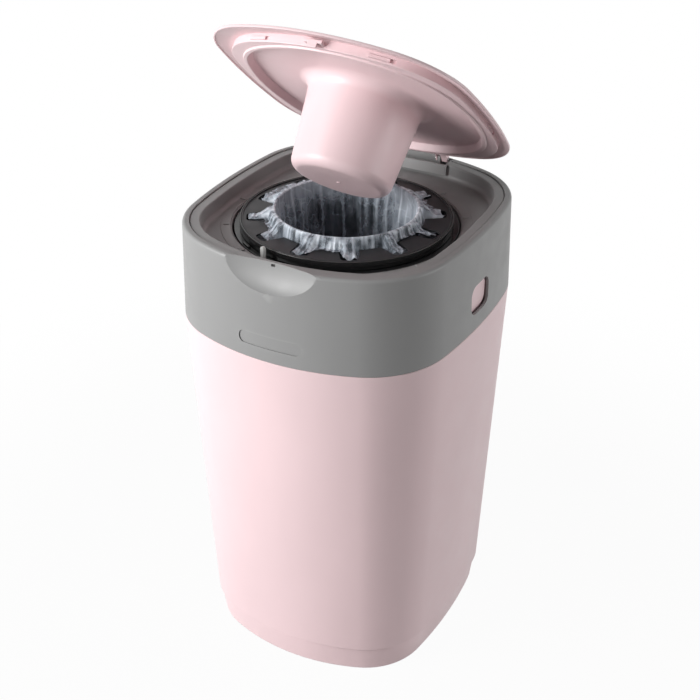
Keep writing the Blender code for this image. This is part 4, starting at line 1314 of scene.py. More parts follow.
@dataclass
class ClickPawl:
    """The light grey post with a rounded head that clicks over the turntable's teeth."""

    deck: Deck
    finishes: Finishes
    edge_round: float = 0.0007
    nose_height: float = 0.0028
    head_facets: int = 20

    def build(self) -> None:
        """Model the post and its nose, and hang them in the frame."""
        low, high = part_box("click_pawl")
        width = self.deck.pawl_width
        foot = low.z - self.deck.form.deck
        top = high.z - self.deck.form.deck
        outline = arc((0, top - width / 2), width / 2, 0, 180, self.head_facets)
        outline += [(-width / 2, foot), (width / 2, foot)]
        place = self.deck.pawl_place()
        post = Hand.prism("click_pawl_post", outline, self.deck.pawl_thickness, place @ facing_x(0, 0, 0),
                          self.edge_round)
        reach = self.deck.well_ledge + self.deck.pawl_out - self.nose_height / 2
        nose = Hand.block("nose", (-reach, -width / 4, foot), (0, width / 4, foot + self.nose_height),
                          self.edge_round / 2)
        Hand.add(post, Hand.settle(nose, place))
        self.finishes.deliver(post, self.finishes.light_grey, "light_grey_plastic", "click_pawl",
                              "click_pawl")


@dataclass
class Turntable:
    """The black drum that turns in the well, with the refill cassette that stands in it."""

    form: Form
    finishes: Finishes
    deck: Deck
    steps: int = 192
    chamfer: float = 0.0006
    running_gap: float = 0.0007
    top_drop: float = 0.0015
    wall: float = 0.0017
    floor: float = 0.0018
    floor_width: float = 0.029
    grip_count: int = 2
    grip_turn: float = -123.0
    grip_length: float = 0.011
    grip_width: float = 0.003
    cassette_wall: float = 0.0013
    lip_width: float = 0.0031
    lip_wall: float = 0.0014
    lip_lift: float = 0.0005
    channel: float = 0.028
    tube_wall: float = 0.0014
    plate_drop: float = 0.0029
    plate_thickness: float = 0.0014
    plate_lip_width: float = 0.0011
    plate_ring_width: float = 0.0032
    tab_length: float = 0.0195
    tab_count: int = 12
    gap_width: float = 0.015
    gap_radius: float = 0.004
    gap_spread_share: float = 0.32
    fine_round: float = 0.0003
    wall_run: float = 0.01
    plate_run: float = 0.004

    @cached_property
    def drum_radius(self) -> float:
        """The drum's radius below its flange."""
        return self.deck.well_radius - self.deck.well_ledge - self.running_gap

    @cached_property
    def drum_top(self) -> float:
        """The height of the drum's rim."""
        return self.form.deck - self.top_drop

    @cached_property
    def cassette_top(self) -> float:
        """The height of the cassette's lip."""
        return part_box("cassette_plate")[1].z

    @cached_property
    def cassette_lip(self) -> float:
        """The radius of the cassette's lip."""
        return node_radius("cassette_body")

    @cached_property
    def tab_inner(self) -> float:
        """How far in the plate's tabs reach."""
        rim = self.plate_lip_width + self.plate_ring_width
        return node_radius("cassette_plate") - rim - self.tab_length

    @cached_property
    def tube_radius(self) -> float:
        """The inside of the tube that the film is drawn through."""
        return self.cassette_lip - self.lip_width - self.channel

    def turn(self, name: str, corners: Sequence[Corner], longest: float) -> Piece:
        """Turn a closed section about the turntable's axis."""
        return Hand.turn(name, rounded(corners, closed=True, longest=longest), self.steps, self.form.centre_y)

    def drum(self) -> Piece:
        """Turn the drum and stand its grips on the rim."""
        flange = node_radius("carrier")
        inner = self.drum_radius - self.wall
        base = self.form.drum_low.z
        bearing = self.form.deck - self.deck.well_depth + gap
        floor_inner = self.drum_radius - self.floor_width
        corners = [
            Corner(flange, self.drum_top, self.chamfer), Corner(flange, bearing, self.fine_round),
            Corner(self.drum_radius, bearing), Corner(self.drum_radius, base, self.chamfer),
            Corner(floor_inner, base, self.fine_round),
            Corner(floor_inner, base + self.floor, self.fine_round),
            Corner(inner, base + self.floor, self.chamfer), Corner(inner, self.drum_top, self.chamfer),
        ]
        piece = self.turn("carrier_drum", corners, self.wall_run)
        for index in range(self.grip_count):
            outer = flange - self.chamfer
            grip_low = (outer - self.grip_width, -self.grip_length / 2, self.drum_top - self.chamfer)
            grip_high = (outer, self.grip_length / 2, self.form.drum_high.z)
            grip = Hand.block("grip", grip_low, grip_high, self.chamfer)
            turn = radians(self.grip_turn) + 2 * pi * index / self.grip_count
            Hand.add(piece, Hand.settle(grip, self.form.about_axis(turn)))
        return piece

    def cassette(self) -> Piece:
        """Turn the refill's trough, its inner tube and the tall lip that seats the plate."""
        low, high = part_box("cassette_body")
        lip = self.cassette_lip
        radius = lip - self.lip_width
        top = self.cassette_top
        seat = top - self.plate_drop
        lip_base = self.drum_top + self.lip_lift
        floor_top = low.z + self.cassette_wall
        tube_outer = self.tube_radius + self.tube_wall
        channel_wall = radius - self.cassette_wall
        corners = [
            Corner(lip, top, self.fine_round * 2), Corner(lip, lip_base, self.fine_round),
            Corner(radius, lip_base), Corner(radius, low.z, self.chamfer),
            Corner(self.tube_radius, low.z, self.fine_round),
            Corner(self.tube_radius, high.z, self.tube_wall / 2),
            Corner(tube_outer, high.z, self.tube_wall / 2), Corner(tube_outer, floor_top, self.chamfer),
            Corner(channel_wall, floor_top, self.chamfer), Corner(channel_wall, seat, self.fine_round),
            Corner(lip - self.lip_wall, seat, self.fine_round),
            Corner(lip - self.lip_wall, top, self.fine_round * 2),
        ]
        return self.turn("cassette_trough", corners, self.wall_run)

    def plate(self) -> Piece:
        """Turn the cassette's cover ring and cut the slots between its tabs."""
        low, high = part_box("cassette_plate")
        outer = node_radius("cassette_plate")
        tab_inner = self.tab_inner
        top = low.z + self.plate_thickness
        corners = [
            Corner(outer, high.z, self.fine_round), Corner(outer, low.z, self.fine_round),
            Corner(tab_inner, low.z, self.fine_round), Corner(tab_inner, top, self.fine_round * 2),
            Corner(outer - self.plate_lip_width, top, self.fine_round),
            Corner(outer - self.plate_lip_width, high.z, self.fine_round),
        ]
        piece = self.turn("cassette_cover_ring", corners, self.plate_run)
        length = self.tab_length + 2 * overrun
        middle = tab_inner + self.tab_length - length / 2
        outline = []
        for along, across in rounded_rectangle(length, self.gap_width, self.gap_radius):
            spread = 1 + self.gap_spread_share * (1 / 2 - along / length)
            outline.append((middle + along, across * spread))
        cutters = []
        for index in range(self.tab_count):
            place = self.form.about_axis(2 * pi * index / self.tab_count, low.z)
            cutters.append(Hand.prism("tab_gap", outline, self.plate_thickness + 2 * overrun, place))
        return Hand.cut(piece, Hand.join(cutters))

    def build(self) -> None:
        """Model the turntable's three mouldings and hang them in the frame."""
        finishes = self.finishes
        finishes.deliver(self.drum(), finishes.black, "black_plastic", "turntable", "carrier")
        finishes.deliver(self.cassette(), finishes.black, "black_plastic", "turntable", "cassette_body")
        finishes.deliver(self.plate(), finishes.matt_black, "black_plastic", "turntable", "cassette_plate")


film_pitch = 8


def map_film(piece: Piece, centre_y: float, milk: Callable[[Vector], float]) -> None:
    """Give a film its UV map, round the axis and along its length, and its milkiness at each point.

    Args:
        piece: The film.
        centre_y: Where its axis stands on Y.
        milk: How milky the film is at a point, from 0 to 1.
    """
    layer = piece.data.uv_layers.new(name="film")
    for loop in piece.data.loops:
        point = piece.data.vertices[loop.vertex_index].co
        away = hypot(point.x, point.y - centre_y)
        turn = atan2(point.y - centre_y, point.x)
        layer.data[loop.index].uv = (turn / (2 * pi), (away - point.z) * film_pitch)
    attribute = piece.data.attributes.new("milk", 'FLOAT', 'POINT')
    for vertex in piece.data.vertices:
        attribute.data[vertex.index].value = milk(vertex.co)


@dataclass
class FilmPack:
    """The stored film in the cassette's trough, pressed into many thin pleats."""

    form: Form
    finishes: Finishes
    turntable: Turntable
    pleats: int = 26
    pleat_depth: float = 0.0022
    steps: int = 240
    flutter: float = 0.0004
    flutter_scale: float = 160.0
    milk: float = 0.45

    def build(self) -> None:
        """Turn a zigzag section and let its pleats waver."""
        low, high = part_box("film_pack")
        outer = node_radius("film_pack")
        inner = self.turntable.tube_radius + self.turntable.tube_wall + gap
        count = 2 * self.pleats
        outside = []
        inside = []
        for index in range(count + 1):
            z = mix(high.z, low.z, index / count)
            dent = self.pleat_depth * (index % 2)
            outside.append((outer - dent, z))
            inside.append((inner + self.pleat_depth - dent, z))
        piece = Hand.turn("film_pleats", outside + list(reversed(inside)), self.steps, self.form.centre_y)
        for vertex in piece.data.vertices:
            sway = noise.noise(vertex.co * self.flutter_scale) * self.flutter
            away = Vector((vertex.co.x, vertex.co.y - self.form.centre_y, 0)).normalized()
            vertex.co += away * (sway - self.flutter) + Vector((0, 0, sway * 0.5 - self.flutter * 0.5))
        map_film(piece, self.form.centre_y, lambda point: self.milk)
        self.finishes.deliver(piece, self.finishes.film, "film", "turntable", "film_pack")


@dataclass
class FilmSleeve:
    """The film drawn from under the plate over the inner tube and down the throat to its knot.

    Over each tab of the plate the film reaches as far as tab_covers says, from the tab at 15 degrees on,
    and where that is nothing it stays beneath the tab and only its tips stand in the slots.
    """

    form: Form
    finishes: Finishes
    turntable: Turntable
    flat_width: float = 0.553
    flat_length: float = 0.25
    thickness: float = 0.0002
    points: int = 480
    tab_covers: tuple[float, ...] = (0.0, 0.0765, 0.0775, 0.0775, 0.0805, 0.0845,
                                     0.0, 0.0735, 0.0, 0.076, 0.0, 0.07)
    tip_reaches: tuple[float, ...] = (0.08, 0.0845, 0.0868, 0.0862, 0.0866, 0.085,
                                      0.0862, 0.0868, 0.084, 0.0868, 0.0862, 0.0852)
    hidden_reach: float = 0.0835
    tip_half_widths: tuple[float, ...] = (1.2, 3.2, 3.4, 3.0, 3.0, 4.4, 1.8, 3.4, 2.6, 4.2, 3.0, 2.2)
    over_half_width: float = 3.0
    dip_half_width: float = 3.4
    tip_slope: float = 2.8
    under_slope: float = 2.0
    edge_waves: Waves = ((11.0, 0.0026), (30.0, 0.0013), (75.0, 0.00065))
    skirt_steps: int = 16
    lip_margin: float = 0.001
    lie: float = 0.0004
    sink: float = 0.0006
    rise_share: float = 0.35
    calm_share: float = 2.4
    sink_share: float = 0.22
    pleat_fineness: float = 42.0
    pleat_drift: float = 25.0
    crumple_fineness: float = 9.0
    crumple_drift: float = 420.0
    crest_round: float = 0.0009
    crest_shares: tuple[Point, ...] = ((0.7, 0.35), (0.0, 0.0), (-1.0, 0.4))
    crest_waves: Waves = ((14.0, 0.0004),)
    over_clearance: float = 0.001
    under_clearance: float = 0.001
    pleat_height: float = 0.0011
    crumple_height: float = 0.001
    folds: int = 44
    second_folds: int = 27
    fold_depth: float = 0.0034
    fold_start: float = 0.003
    fold_run: float = 0.03
    fold_fade: float = 0.02
    fold_share_first: float = 0.58
    first_sway: float = 2.2
    second_sway: float = 2.6
    sway_fineness: float = 3.1
    sway_drift: float = 7.0
    sway_reach: float = 1.5
    strength_share: float = 0.62
    strength_fineness: float = 4.7
    strength_offset: float = 5.0
    strength_drift: float = 9.0
    throat_drop: float = 0.088
    belly_drop: float = 0.123
    waist_drop: float = 0.185
    neck_drop: float = 0.21
    knot_drop: float = 0.22
    throat_draw: float = 0.0028
    belly_draw: float = 0.0074
    waist_share: float = 0.5205
    neck_radius: float = 0.0065
    knot_radius: float = 0.01
    knot_height: float = 0.004
    knot_round: float = 0.003
    tail_round: float = 0.001
    tail_drop: float = 0.003
    tail_length: float = 0.0085
    tail_share: float = 0.8
    tail_flare_share: float = 1.1
    soft_round: float = 0.02
    throat_run: float = 0.0045
    crumple_waves: Waves = ((260.0, 0.26), (110.0, 0.34))
    pleat_waves: Waves = ((40.0, 0.42), (14.0, 0.34))
    drift_waves: Waves = ((2.6, 0.12),)
    skirt_milk: float = 0.26
    rolled_milk: float = 0.35
    rolled_rounds: float = 4.0
    skirt_crumple: float = 1.2
    crest_milk: float = 0.45
    # Deep in the throat: painted light on the sides that the key light and the side light fall on, painted
    # shade between them.
    key_lit_painted_milk: float = 0.42
    side_lit_painted_milk: float = 0.3
    painted_shade_milk: float = -0.08
    deep_drop: float = 0.03
    crease_start: float = 0.45
    crease_low: float = 0.2
    crease_high: float = 0.42
    throat_crumple: float = 0.4
    # Bearings of that painted light: the sides of the throat that the key light and the side light fall on.
    key_lit_painted_bearing: float = 35.0
    side_lit_painted_bearing: float = 195.0

    @cached_property
    def crest(self) -> float:
        """The height of the film where it passes over the inner tube."""
        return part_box("film_sleeve")[1].z

    @cached_property
    def plate_low(self) -> float:
        """The height of the plate's underside."""
        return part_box("cassette_plate")[0].z

    @cached_property
    def lip(self) -> float:
        """The radius of the middle of the inner tube's wall."""
        return self.turntable.tube_radius + self.turntable.tube_wall / 2

    def reach(self, turn: float) -> tuple[float, float, float]:
        """How the film lies at a bearing.

        Args:
            turn: The bearing in degrees.

        Returns:
            The radius of its edge, a share that is 1 over the plate and 0 beneath it, and a share that is
            1 where it dips into a slot.
        """
        pitch = 360 / len(self.tab_covers)
        slot = round(turn / pitch)
        off = turn - slot * pitch
        cover = self.tab_covers[(slot if off >= 0 else slot - 1) % len(self.tab_covers)]
        near = abs(off)
        half = self.tip_half_widths[slot % len(self.tip_half_widths)]
        dip = 1 - smooth_step(near / self.dip_half_width)
        if cover:
            tip = 1 - smooth_step((near - half) / self.tip_slope)
            return mix(cover, self.tip_reaches[slot % len(self.tip_reaches)], tip), 1.0, dip
        over = 1 - smooth_step((near - min(half, self.over_half_width)) / self.under_slope)
        return mix(self.hidden_reach, self.tip_reaches[slot % len(self.tip_reaches)], over), over, dip

    def skirt(self, turn: float) -> list[Point]:
        """The film's section from its edge up to the crest over the tube, at a bearing in degrees."""
        plate_low = self.plate_low
        level = plate_low + self.turntable.plate_thickness + self.over_clearance
        sunk = plate_low - self.under_clearance
        edge, over, dip = self.reach(turn)
        place = heading(radians(turn))
        edge = min(edge + waver(place, self.edge_waves), max(self.tip_reaches))
        lip = self.lip + self.turntable.tube_wall / 2
        top = self.crest - self.lip_margin
        tab_inner = self.turntable.tab_inner - self.under_clearance
        section = []
        for index in range(self.skirt_steps + 1):
            share = index / self.skirt_steps
            radius = mix(edge, lip + self.lip_margin, share)
            along = Vector((0, 0, radius))
            pleat = noise.noise(place * self.pleat_fineness + along * self.pleat_drift) * self.pleat_height
            crumple = noise.noise(place * self.crumple_fineness + along * self.crumple_drift)
            crumple *= self.crumple_height
            rise = smooth_step((share - self.rise_share) / (1 - self.rise_share)) * (top - level)
            height = level + rise + (pleat + crumple + self.lie) * min(1.0, self.calm_share * (1 - share))
            height -= dip * max(0.0, 1 - share / self.sink_share) * (level - plate_low + self.sink)
            below = sunk + smooth_step((tab_inner - radius) / (tab_inner - lip)) * (top - sunk)
            section.append((radius, mix(below, height, over)))
        return section

    def fold_share(self, turn: float, drop: float) -> float:
        """How far a point of the throat stands in its fold, from -1 outside to 1 nearest the axis."""
        place = heading(turn)
        sway = noise.noise(place * self.sway_fineness + Vector((0, 0, drop * self.sway_drift)))
        sway *= self.sway_reach
        first = cos(self.folds * turn + self.first_sway * sway)
        second = cos(self.second_folds * turn - self.second_sway * sway + 1)
        return mix(second, first, self.fold_share_first)

    def fold(self, turn: float, drop: float) -> float:
        """How far the film is drawn in by its folds at a bearing in radians and a drop below the crest."""
        place = heading(turn)
        offset = Vector((self.strength_offset, 0, drop * self.strength_drift))
        strength = self.strength_share + noise.noise(place * self.strength_fineness + offset) / 2
        grown = smooth_step((drop - self.fold_start) / self.fold_run)
        return self.fold_depth * grown * strength * (1 + self.fold_share(turn, drop))

    def throat(self) -> list[Point]:
        """The film's section from the crest down to the tail below its knot, as (radius, drop)."""
        tube = self.turntable.tube_radius
        corners = [
            Corner(tube - 2 * gap, self.crest_round),
            Corner(tube - 2 * gap, self.throat_drop / 2, self.soft_round),
            Corner(tube - self.throat_draw, self.throat_drop, self.soft_round),
            Corner(tube - self.belly_draw, self.belly_drop, self.soft_round),
            Corner(tube * self.waist_share, self.waist_drop, self.soft_round),
            Corner(self.neck_radius, self.neck_drop, self.knot_height),
            Corner(self.knot_radius, self.knot_drop - self.knot_height, self.knot_round),
            Corner(self.knot_radius, self.knot_drop, self.knot_round),
            Corner(self.neck_radius * self.tail_share, self.knot_drop + self.tail_drop, self.tail_round),
            Corner(self.knot_radius * self.tail_flare_share, self.knot_drop + self.tail_length),
        ]
        return rounded(corners, closed=False, longest=self.throat_run)

    def section(self, turn: float, throat: list[Point]) -> list[Point]:
        """The whole section of the film at a bearing in radians, from its edge to its tail."""
        place = heading(turn)
        ripple = waver(place, self.crest_waves) - self.lie
        points = self.skirt(turn * 180 / pi)
        for out, down in self.crest_shares:
            points.append((self.lip + self.crest_round * out, self.crest - self.crest_round * down + ripple))
        for radius, drop in throat:
            drawn = self.fold(turn, drop) * min(1.0, radius / self.fold_fade)
            points.append((radius - drawn, self.crest - drop))
        return points

    def rings(self) -> list[Ring]:
        """Every ring of the sheet, from its edge over the crest to its tail."""
        throat = self.throat()
        turns = [2 * pi * index / self.points for index in range(self.points)]
        sections = [self.section(turn, throat) for turn in turns]
        made = []
        for level in range(len(sections[0])):
            ring = []
            for turn, section in zip(turns, sections):
                radius, z = section[level]
                ring.append(Vector((radius * cos(turn), self.form.centre_y + radius * sin(turn), z)))
            made.append(ring)
        return made

    def milk(self, point: Vector) -> float:
        """How milky the film is: most on the skirt and along its folds. Deep in the throat it is clear and
        dark, a painted shade, but milkier on the two sides that the key light and the side light fall on, a
        painted light.
        """
        away = hypot(point.x, point.y - self.form.centre_y)
        turn = atan2(point.y - self.form.centre_y, point.x)
        place = heading(turn)
        drop = self.crest - point.z
        crumple = waver(point, self.crumple_waves)
        over = away - self.lip + self.crest_round
        if over > 0:
            rolled = self.rolled_milk * max(0.0, 1 - over / (self.rolled_rounds * self.crest_round))
            level = self.skirt_milk + rolled + self.skirt_crumple * crumple + waver(place, self.pleat_waves)
            return held(level)
        crease = max(0.0, self.fold_share(turn, drop) - self.crease_start) / (1 - self.crease_start)
        # Painted light: milkier deep in the throat where the key light and the side light fall on its wall;
        # painted shade: clear and dark between.
        key_lit_share = max(0.0, cos(turn - radians(self.key_lit_painted_bearing)))
        second = max(0.0, cos(turn - radians(self.side_lit_painted_bearing)))
        deep = self.key_lit_painted_milk * key_lit_share + self.side_lit_painted_milk * second + self.painted_shade_milk
        level = mix(self.crest_milk, deep, smooth_step(drop / self.deep_drop))
        level += waver(place, self.drift_waves) + self.throat_crumple * crumple
        # Creases are milkier on the side that the key light falls on, a painted light.
        level += crease * crease * mix(self.crease_low, self.crease_high, key_lit_share)
        return held(level)

    def build(self) -> None:
        """Draw the sheet, give it its thickness and hang it in the frame."""
        piece = Hand.loft("film_gathered", self.rings(), Ends.OPEN)
        map_film(piece, self.form.centre_y, self.milk)
        Hand.thicken(piece, self.thickness)
        self.finishes.deliver(piece, self.finishes.film, "film", "turntable", "film_sleeve")


@dataclass
class Lid:
    """The lid: a domed cover, the liner with its plunger and the latch, modelled shut and then opened."""

    form: Form
    finishes: Finishes
    pocket: HingePocket
    clearance: float = 0.0005
    side_margin: float = 0.0069
    front_margin: float = 0.0026
    back_margin: float = 0.0148
    cover_wall: float = 0.0016
    cover_skirt: float = 0.0022
    cover_rise: float = 0.017
    dome_facets: int = 24
    liner_side_margin: float = 0.0174
    liner_front_margin: float = 0.0257
    liner_back_margin: float = 0.0237
    liner_wall: float = 0.002
    liner_drop: float = 0.0022
    ridge_side: float = 0.0058
    ridge_end: float = 0.004
    ridge_side_bulge: float = 0.038
    ridge_end_bulge: float = 0.058
    ridge_corner: float = 0.076
    ridge_drop: float = 0.0038
    ridge_width: float = 0.0034
    recess_slope: float = 0.003
    recess_rise: float = 0.003
    plunger_back: float = 0.0035
    plunger_top: float = 0.0515
    plunger_taper: float = 0.0066
    plunger_depth: float = 0.0768
    plunger_fillet: float = 0.012
    plunger_foot_fillet: float = 0.0095
    lug_radius: float = 0.0032
    lug_reach: float = 0.009
    lug_web_low: float = 0.0008
    lug_web_high: float = 0.0045
    rib_width: float = 0.0016
    latch_width: float = 0.017
    latch_depth: float = 0.006
    latch_height: float = 0.003
    prong_width: float = 0.009
    prong_thickness: float = 0.002
    prong_drop: float = 0.0045
    edge: float = 0.0006
    gate_radius: float = 0.0016
    gate_height: float = 0.0004
    snap_shares: tuple[float, ...] = (0.685, 0.812, 0.02, 0.48, 0.19, 0.31)
    snap_width: float = 0.0225
    snap_depth: float = 0.0018
    snap_low: float = -0.0004
    snap_height: float = 0.0034
    hook_share: float = 0.55
    edge_run: float = 0.003
    ridge_run: float = 0.002
    hollow_run: float = 0.008
    cup_run: float = 0.006
    hollow_facets: int = 10
    cup_facets: int = 14
    gate_facets: int = 32

    @cached_property
    def plane(self) -> float:
        """The height of the closed lid's edge."""
        return self.form.rim + self.clearance

    def swing(self, piece: Piece) -> Piece:
        """Turn a piece that was modelled on the closed lid to the angle that it is shown at."""
        joint = joint_named("lid_hinge")
        pivot = Matrix.Translation(Vector(joint["pos_m"]))
        turn = Matrix.Rotation(radians(-joint["range_deg"][0]), 4, Vector(joint["axis"]))
        return Hand.settle(piece, pivot @ turn @ pivot.inverted())

    def cover(self) -> Piece:
        """Draw the domed shell and join the two hinge lugs to it."""
        outline = self.cover_outline()
        shares = [1 - index / (self.dome_facets + 0.5) for index in range(self.dome_facets)]
        outer = [outline.ring(self.dome_height(share), 0, share) for share in shares]
        inner = [outline.ring(self.dome_height(share) - self.cover_wall, self.cover_wall, share)
                 for share in shares]
        top = self.plane + self.cover_skirt
        wall = self.cover_wall
        corners = [Corner(wall, top - wall), Corner(wall, self.plane, self.edge / 2),
                   Corner(0, self.plane, self.edge), Corner(0, top, self.edge),
                   Corner(wall, top + self.edge / 2)]
        rings = list(reversed(inner[1:])) + outline.rings(corners, self.edge_run) + outer[1:]
        piece = Hand.loft("lid_cover_shell", rings, Ends.CAPPED)
        for side in Side:
            Hand.add(piece, self.lug(side))
        return piece

    def cover_outline(self) -> Outline:
        """The outline of the cover's edge."""
        return self.form.lid_outline(self.side_margin, self.front_margin, self.back_margin)

    def dome_height(self, share: float) -> float:
        """The height of the cover's outside on its outline drawn in to a share: a shallow lens."""
        return self.plane + self.cover_skirt + self.cover_rise * (1 - share * share)

    def ceiling(self, point: Vector) -> float:
        """The height of the cover's inside above a point of the closed lid's plane."""
        outline = self.cover_outline()
        turn = atan2(point.y - outline.centre_y, point.x)
        edge = min(outline.ring(0), key=lambda place: abs(atan2(place.y - outline.centre_y, place.x) - turn))
        share = hypot(point.x, point.y - outline.centre_y) / hypot(edge.x, edge.y - outline.centre_y)
        return self.dome_height(share) - self.cover_wall

    def under_cover(self, ring: Ring) -> Ring:
        """A ring's points raised to just below the cover's inside."""
        return [Vector((point.x, point.y, self.ceiling(point) - gap)) for point in ring]

    def lug(self, side: Side) -> Piece:
        """A lug that hangs from the cover's back edge, with a round eye on the hinge's axis.

        A web and a thin rib stand beside it, on the other side of the hinge's bracket.
        """
        pocket = self.pocket
        hinge = pocket.hinge
        points = arc((hinge.y, hinge.z), self.lug_radius, 90, -90, pocket.eye_facets)
        points += [(hinge.y - self.lug_radius, hinge.z - self.lug_web_low),
                   (hinge.y - self.lug_reach, hinge.z + self.lug_web_low),
                   (hinge.y - self.lug_reach, hinge.z + self.lug_web_high),
                   (hinge.y - self.lug_radius, hinge.z + self.lug_web_high)]
        place = facing_x(side.value * pocket.lug_x, 0, 0)
        lug = Hand.prism("lug", points, pocket.lug_width, place, self.edge / 2)
        Hand.cut(lug, pocket.bore(side, pocket.lug_width, place))
        rib_x = pocket.lug_x - pocket.lug_width / 2 - pocket.bracket_width - self.rib_width
        rib_x -= pocket.side_clearance
        rib = Hand.prism("rib", points, self.rib_width, facing_x(side.value * rib_x, 0, 0), self.edge / 3)
        web = Hand.block("web", (rib_x, hinge.y - self.lug_reach, hinge.z + self.lug_web_low),
                         (pocket.lug_x, hinge.y - self.lug_reach + self.rib_width,
                          hinge.z + self.lug_web_high), self.edge / 3)
        if side is Side.LEFT:
            Hand.mirror(web)
        Hand.add(lug, web)
        return Hand.add(lug, rib)

    def liner_outline(self) -> Outline:
        """The outline of the liner's wall."""
        return self.form.lid_outline(self.liner_side_margin, self.liner_front_margin,
                                     self.liner_back_margin)

    def oval(self) -> Outline:
        """The ridge's outline: rounder than the liner's, so that it nears it at the middle of each side."""
        edge = self.liner_outline()
        return Outline(edge.half_width - self.ridge_side, edge.half_depth - self.ridge_end,
                       self.ridge_side_bulge, self.ridge_end_bulge, self.ridge_corner, edge.centre_y)

    def plunger_centre(self) -> float:
        """Where the plunger's axis stands on Y when the lid is shut."""
        return (self.front_margin - self.back_margin) / 2 + self.plunger_back

    def under_rings(self) -> list[Ring]:
        """Rings of the liner's underside, from the top of its wall in to the recess."""
        outline = self.liner_outline()
        oval = self.oval()
        ring_z = self.plane - self.liner_drop
        ridge_z = self.plane - self.ridge_drop
        recess_z = self.plane + self.recess_rise
        wall = [Corner(0, self.plane), Corner(0, ring_z, self.edge), Corner(3 * self.edge, ring_z)]
        crown = [Corner(-self.ridge_width, ring_z + self.edge / 2), Corner(-self.edge, ring_z, self.edge),
                 Corner(0, ridge_z, self.edge), Corner(self.ridge_width, ridge_z, 2 * self.edge),
                 Corner(self.ridge_width + self.recess_slope, recess_z, 2 * self.edge),
                 Corner(self.ridge_width + 4 * self.recess_slope, recess_z)]
        top = self.under_cover(outline.ring(0))
        return [top] + outline.rings(wall, self.edge_run) + oval.rings(crown, self.ridge_run)[1:]

    def over_rings(self) -> list[Ring]:
        """Rings of the liner's hidden upper face, from the recess out to the top of its wall."""
        outline = self.liner_outline()
        oval = self.oval()
        recess_top = self.plane + self.recess_rise + self.liner_wall
        ring_top = self.plane - self.liner_drop + self.liner_wall
        low = self.ridge_width + self.recess_slope
        wall = self.liner_wall
        return [oval.ring(recess_top, low + 3 * self.recess_slope), oval.ring(recess_top, low - wall / 2),
                oval.ring(ring_top, wall / 2), outline.ring(ring_top, wall + self.edge),
                outline.ring(ring_top, wall), self.under_cover(outline.ring(0, wall))]

    def liner(self) -> Piece:
        """Draw the inner moulding: wall, flat ring, oval ridge, shallow recess and the plunger."""
        recess_z = self.plane + self.recess_rise
        foot = self.plunger_top - self.plunger_taper
        low = self.plane - self.plunger_depth
        root = self.plunger_top + 2 * self.plunger_fillet
        cup = [
            Corner(root, recess_z), Corner(self.plunger_top, recess_z, self.plunger_fillet),
            Corner(foot, low, self.plunger_foot_fillet), Corner(foot / 2, low - self.edge, foot / 4),
            Corner(self.edge, low - self.edge),
        ]
        hollow = [
            Corner(self.edge, low - self.edge + self.liner_wall),
            Corner(foot / 2, low - self.edge + self.liner_wall, foot / 4),
            Corner(foot - self.liner_wall, low + self.liner_wall, self.plunger_foot_fillet - self.liner_wall),
            Corner(self.plunger_top - self.liner_wall, recess_z + self.liner_wall,
                   self.plunger_fillet + self.liner_wall),
            Corner(root, recess_z + self.liner_wall),
        ]
        guide = self.liner_outline().ring(0)
        centre_y = self.plunger_centre()
        inside = rounded(hollow, closed=False, facets=self.hollow_facets, longest=self.hollow_run)
        outside = rounded(cup, closed=False, facets=self.cup_facets, longest=self.cup_run)
        rings = [circle_like(guide, radius, z, centre_y) for radius, z in inside]
        rings += self.over_rings() + self.under_rings()
        rings += [circle_like(guide, radius, z, centre_y) for radius, z in outside]
        return Hand.loft("lid_liner_moulding", rings, Ends.CAPPED)

    def add_gate_mark(self, piece: Piece) -> None:
        """Stand the moulding gate's small stub on the plunger's foot."""
        Hand.rest()
        middle = self.plane - self.plunger_depth - self.edge + self.gate_height
        bpy.ops.mesh.primitive_cylinder_add(vertices=self.gate_facets, radius=self.gate_radius,
                                            depth=4 * self.gate_height,
                                            location=(0, self.plunger_centre(), middle))
        gate = Hand.take("gate")
        Hand.soften(gate, self.gate_height / 2, 2)
        Hand.add(piece, gate)

    def snap_points(self) -> list[tuple[Vector, float]]:
        """Places on the liner's wall for its snap windows, each with the bearing that the wall faces."""
        ring = self.liner_outline().ring(self.plane)
        places = []
        for share in self.snap_shares:
            index = round(share * len(ring)) % len(ring)
            along = ring[(index + 1) % len(ring)] - ring[index - 1]
            places.append((ring[index], atan2(along.y, along.x) - pi / 2))
        return places

    def add_snaps(self, piece: Piece) -> None:
        """Sink a window in the liner's wall for each snap hook of the cover, and stand the hook in it."""
        for point, turn in self.snap_points():
            place = Matrix.Translation((point.x, point.y, self.plane)) @ Matrix.Rotation(turn, 4, 'Z')
            half = self.snap_width / 2
            window = Hand.block("snap_window", (-self.snap_depth, -half, self.snap_low),
                                (overrun, half, self.snap_low + self.snap_height), self.edge / 3)
            Hand.cut(piece, Hand.settle(window, place))
            hook_low = (-self.snap_depth - self.edge, -half - self.edge, self.snap_low + gap)
            hook_high = (self.edge / 2, half * self.hook_share, self.snap_low + self.snap_height - gap)
            hook = Hand.block("snap_hook", hook_low, hook_high, self.edge / 3)
            Hand.add(piece, Hand.settle(hook, place))

    def latch(self) -> Piece:
        """Model the clip between cover and liner, with the prong that drops into the bowl."""
        outline = self.liner_outline()
        back = outline.centre_y - outline.half_depth - gap
        low = self.plane - self.edge
        block = Hand.block("lid_latch_clip", (-self.latch_width / 2, back - self.latch_depth, low),
                           (self.latch_width / 2, back, low + self.latch_height), self.edge)
        for side in Side:
            hole_x = side.value * self.latch_width / 4
            half = self.prong_thickness / 2
            hole = Hand.block("latch_hole", (hole_x - half, back - overrun, self.plane - overrun),
                              (hole_x + half, back - self.edge, self.plane + self.edge), self.edge / 3)
            Hand.cut(block, hole)
        middle = back - self.latch_depth
        prong = Hand.block("prong", (-self.prong_width / 2, middle, self.plane - self.prong_drop),
                           (self.prong_width / 2, middle + self.prong_thickness, self.plane + 2 * self.edge),
                           self.edge)
        return Hand.add(block, prong)

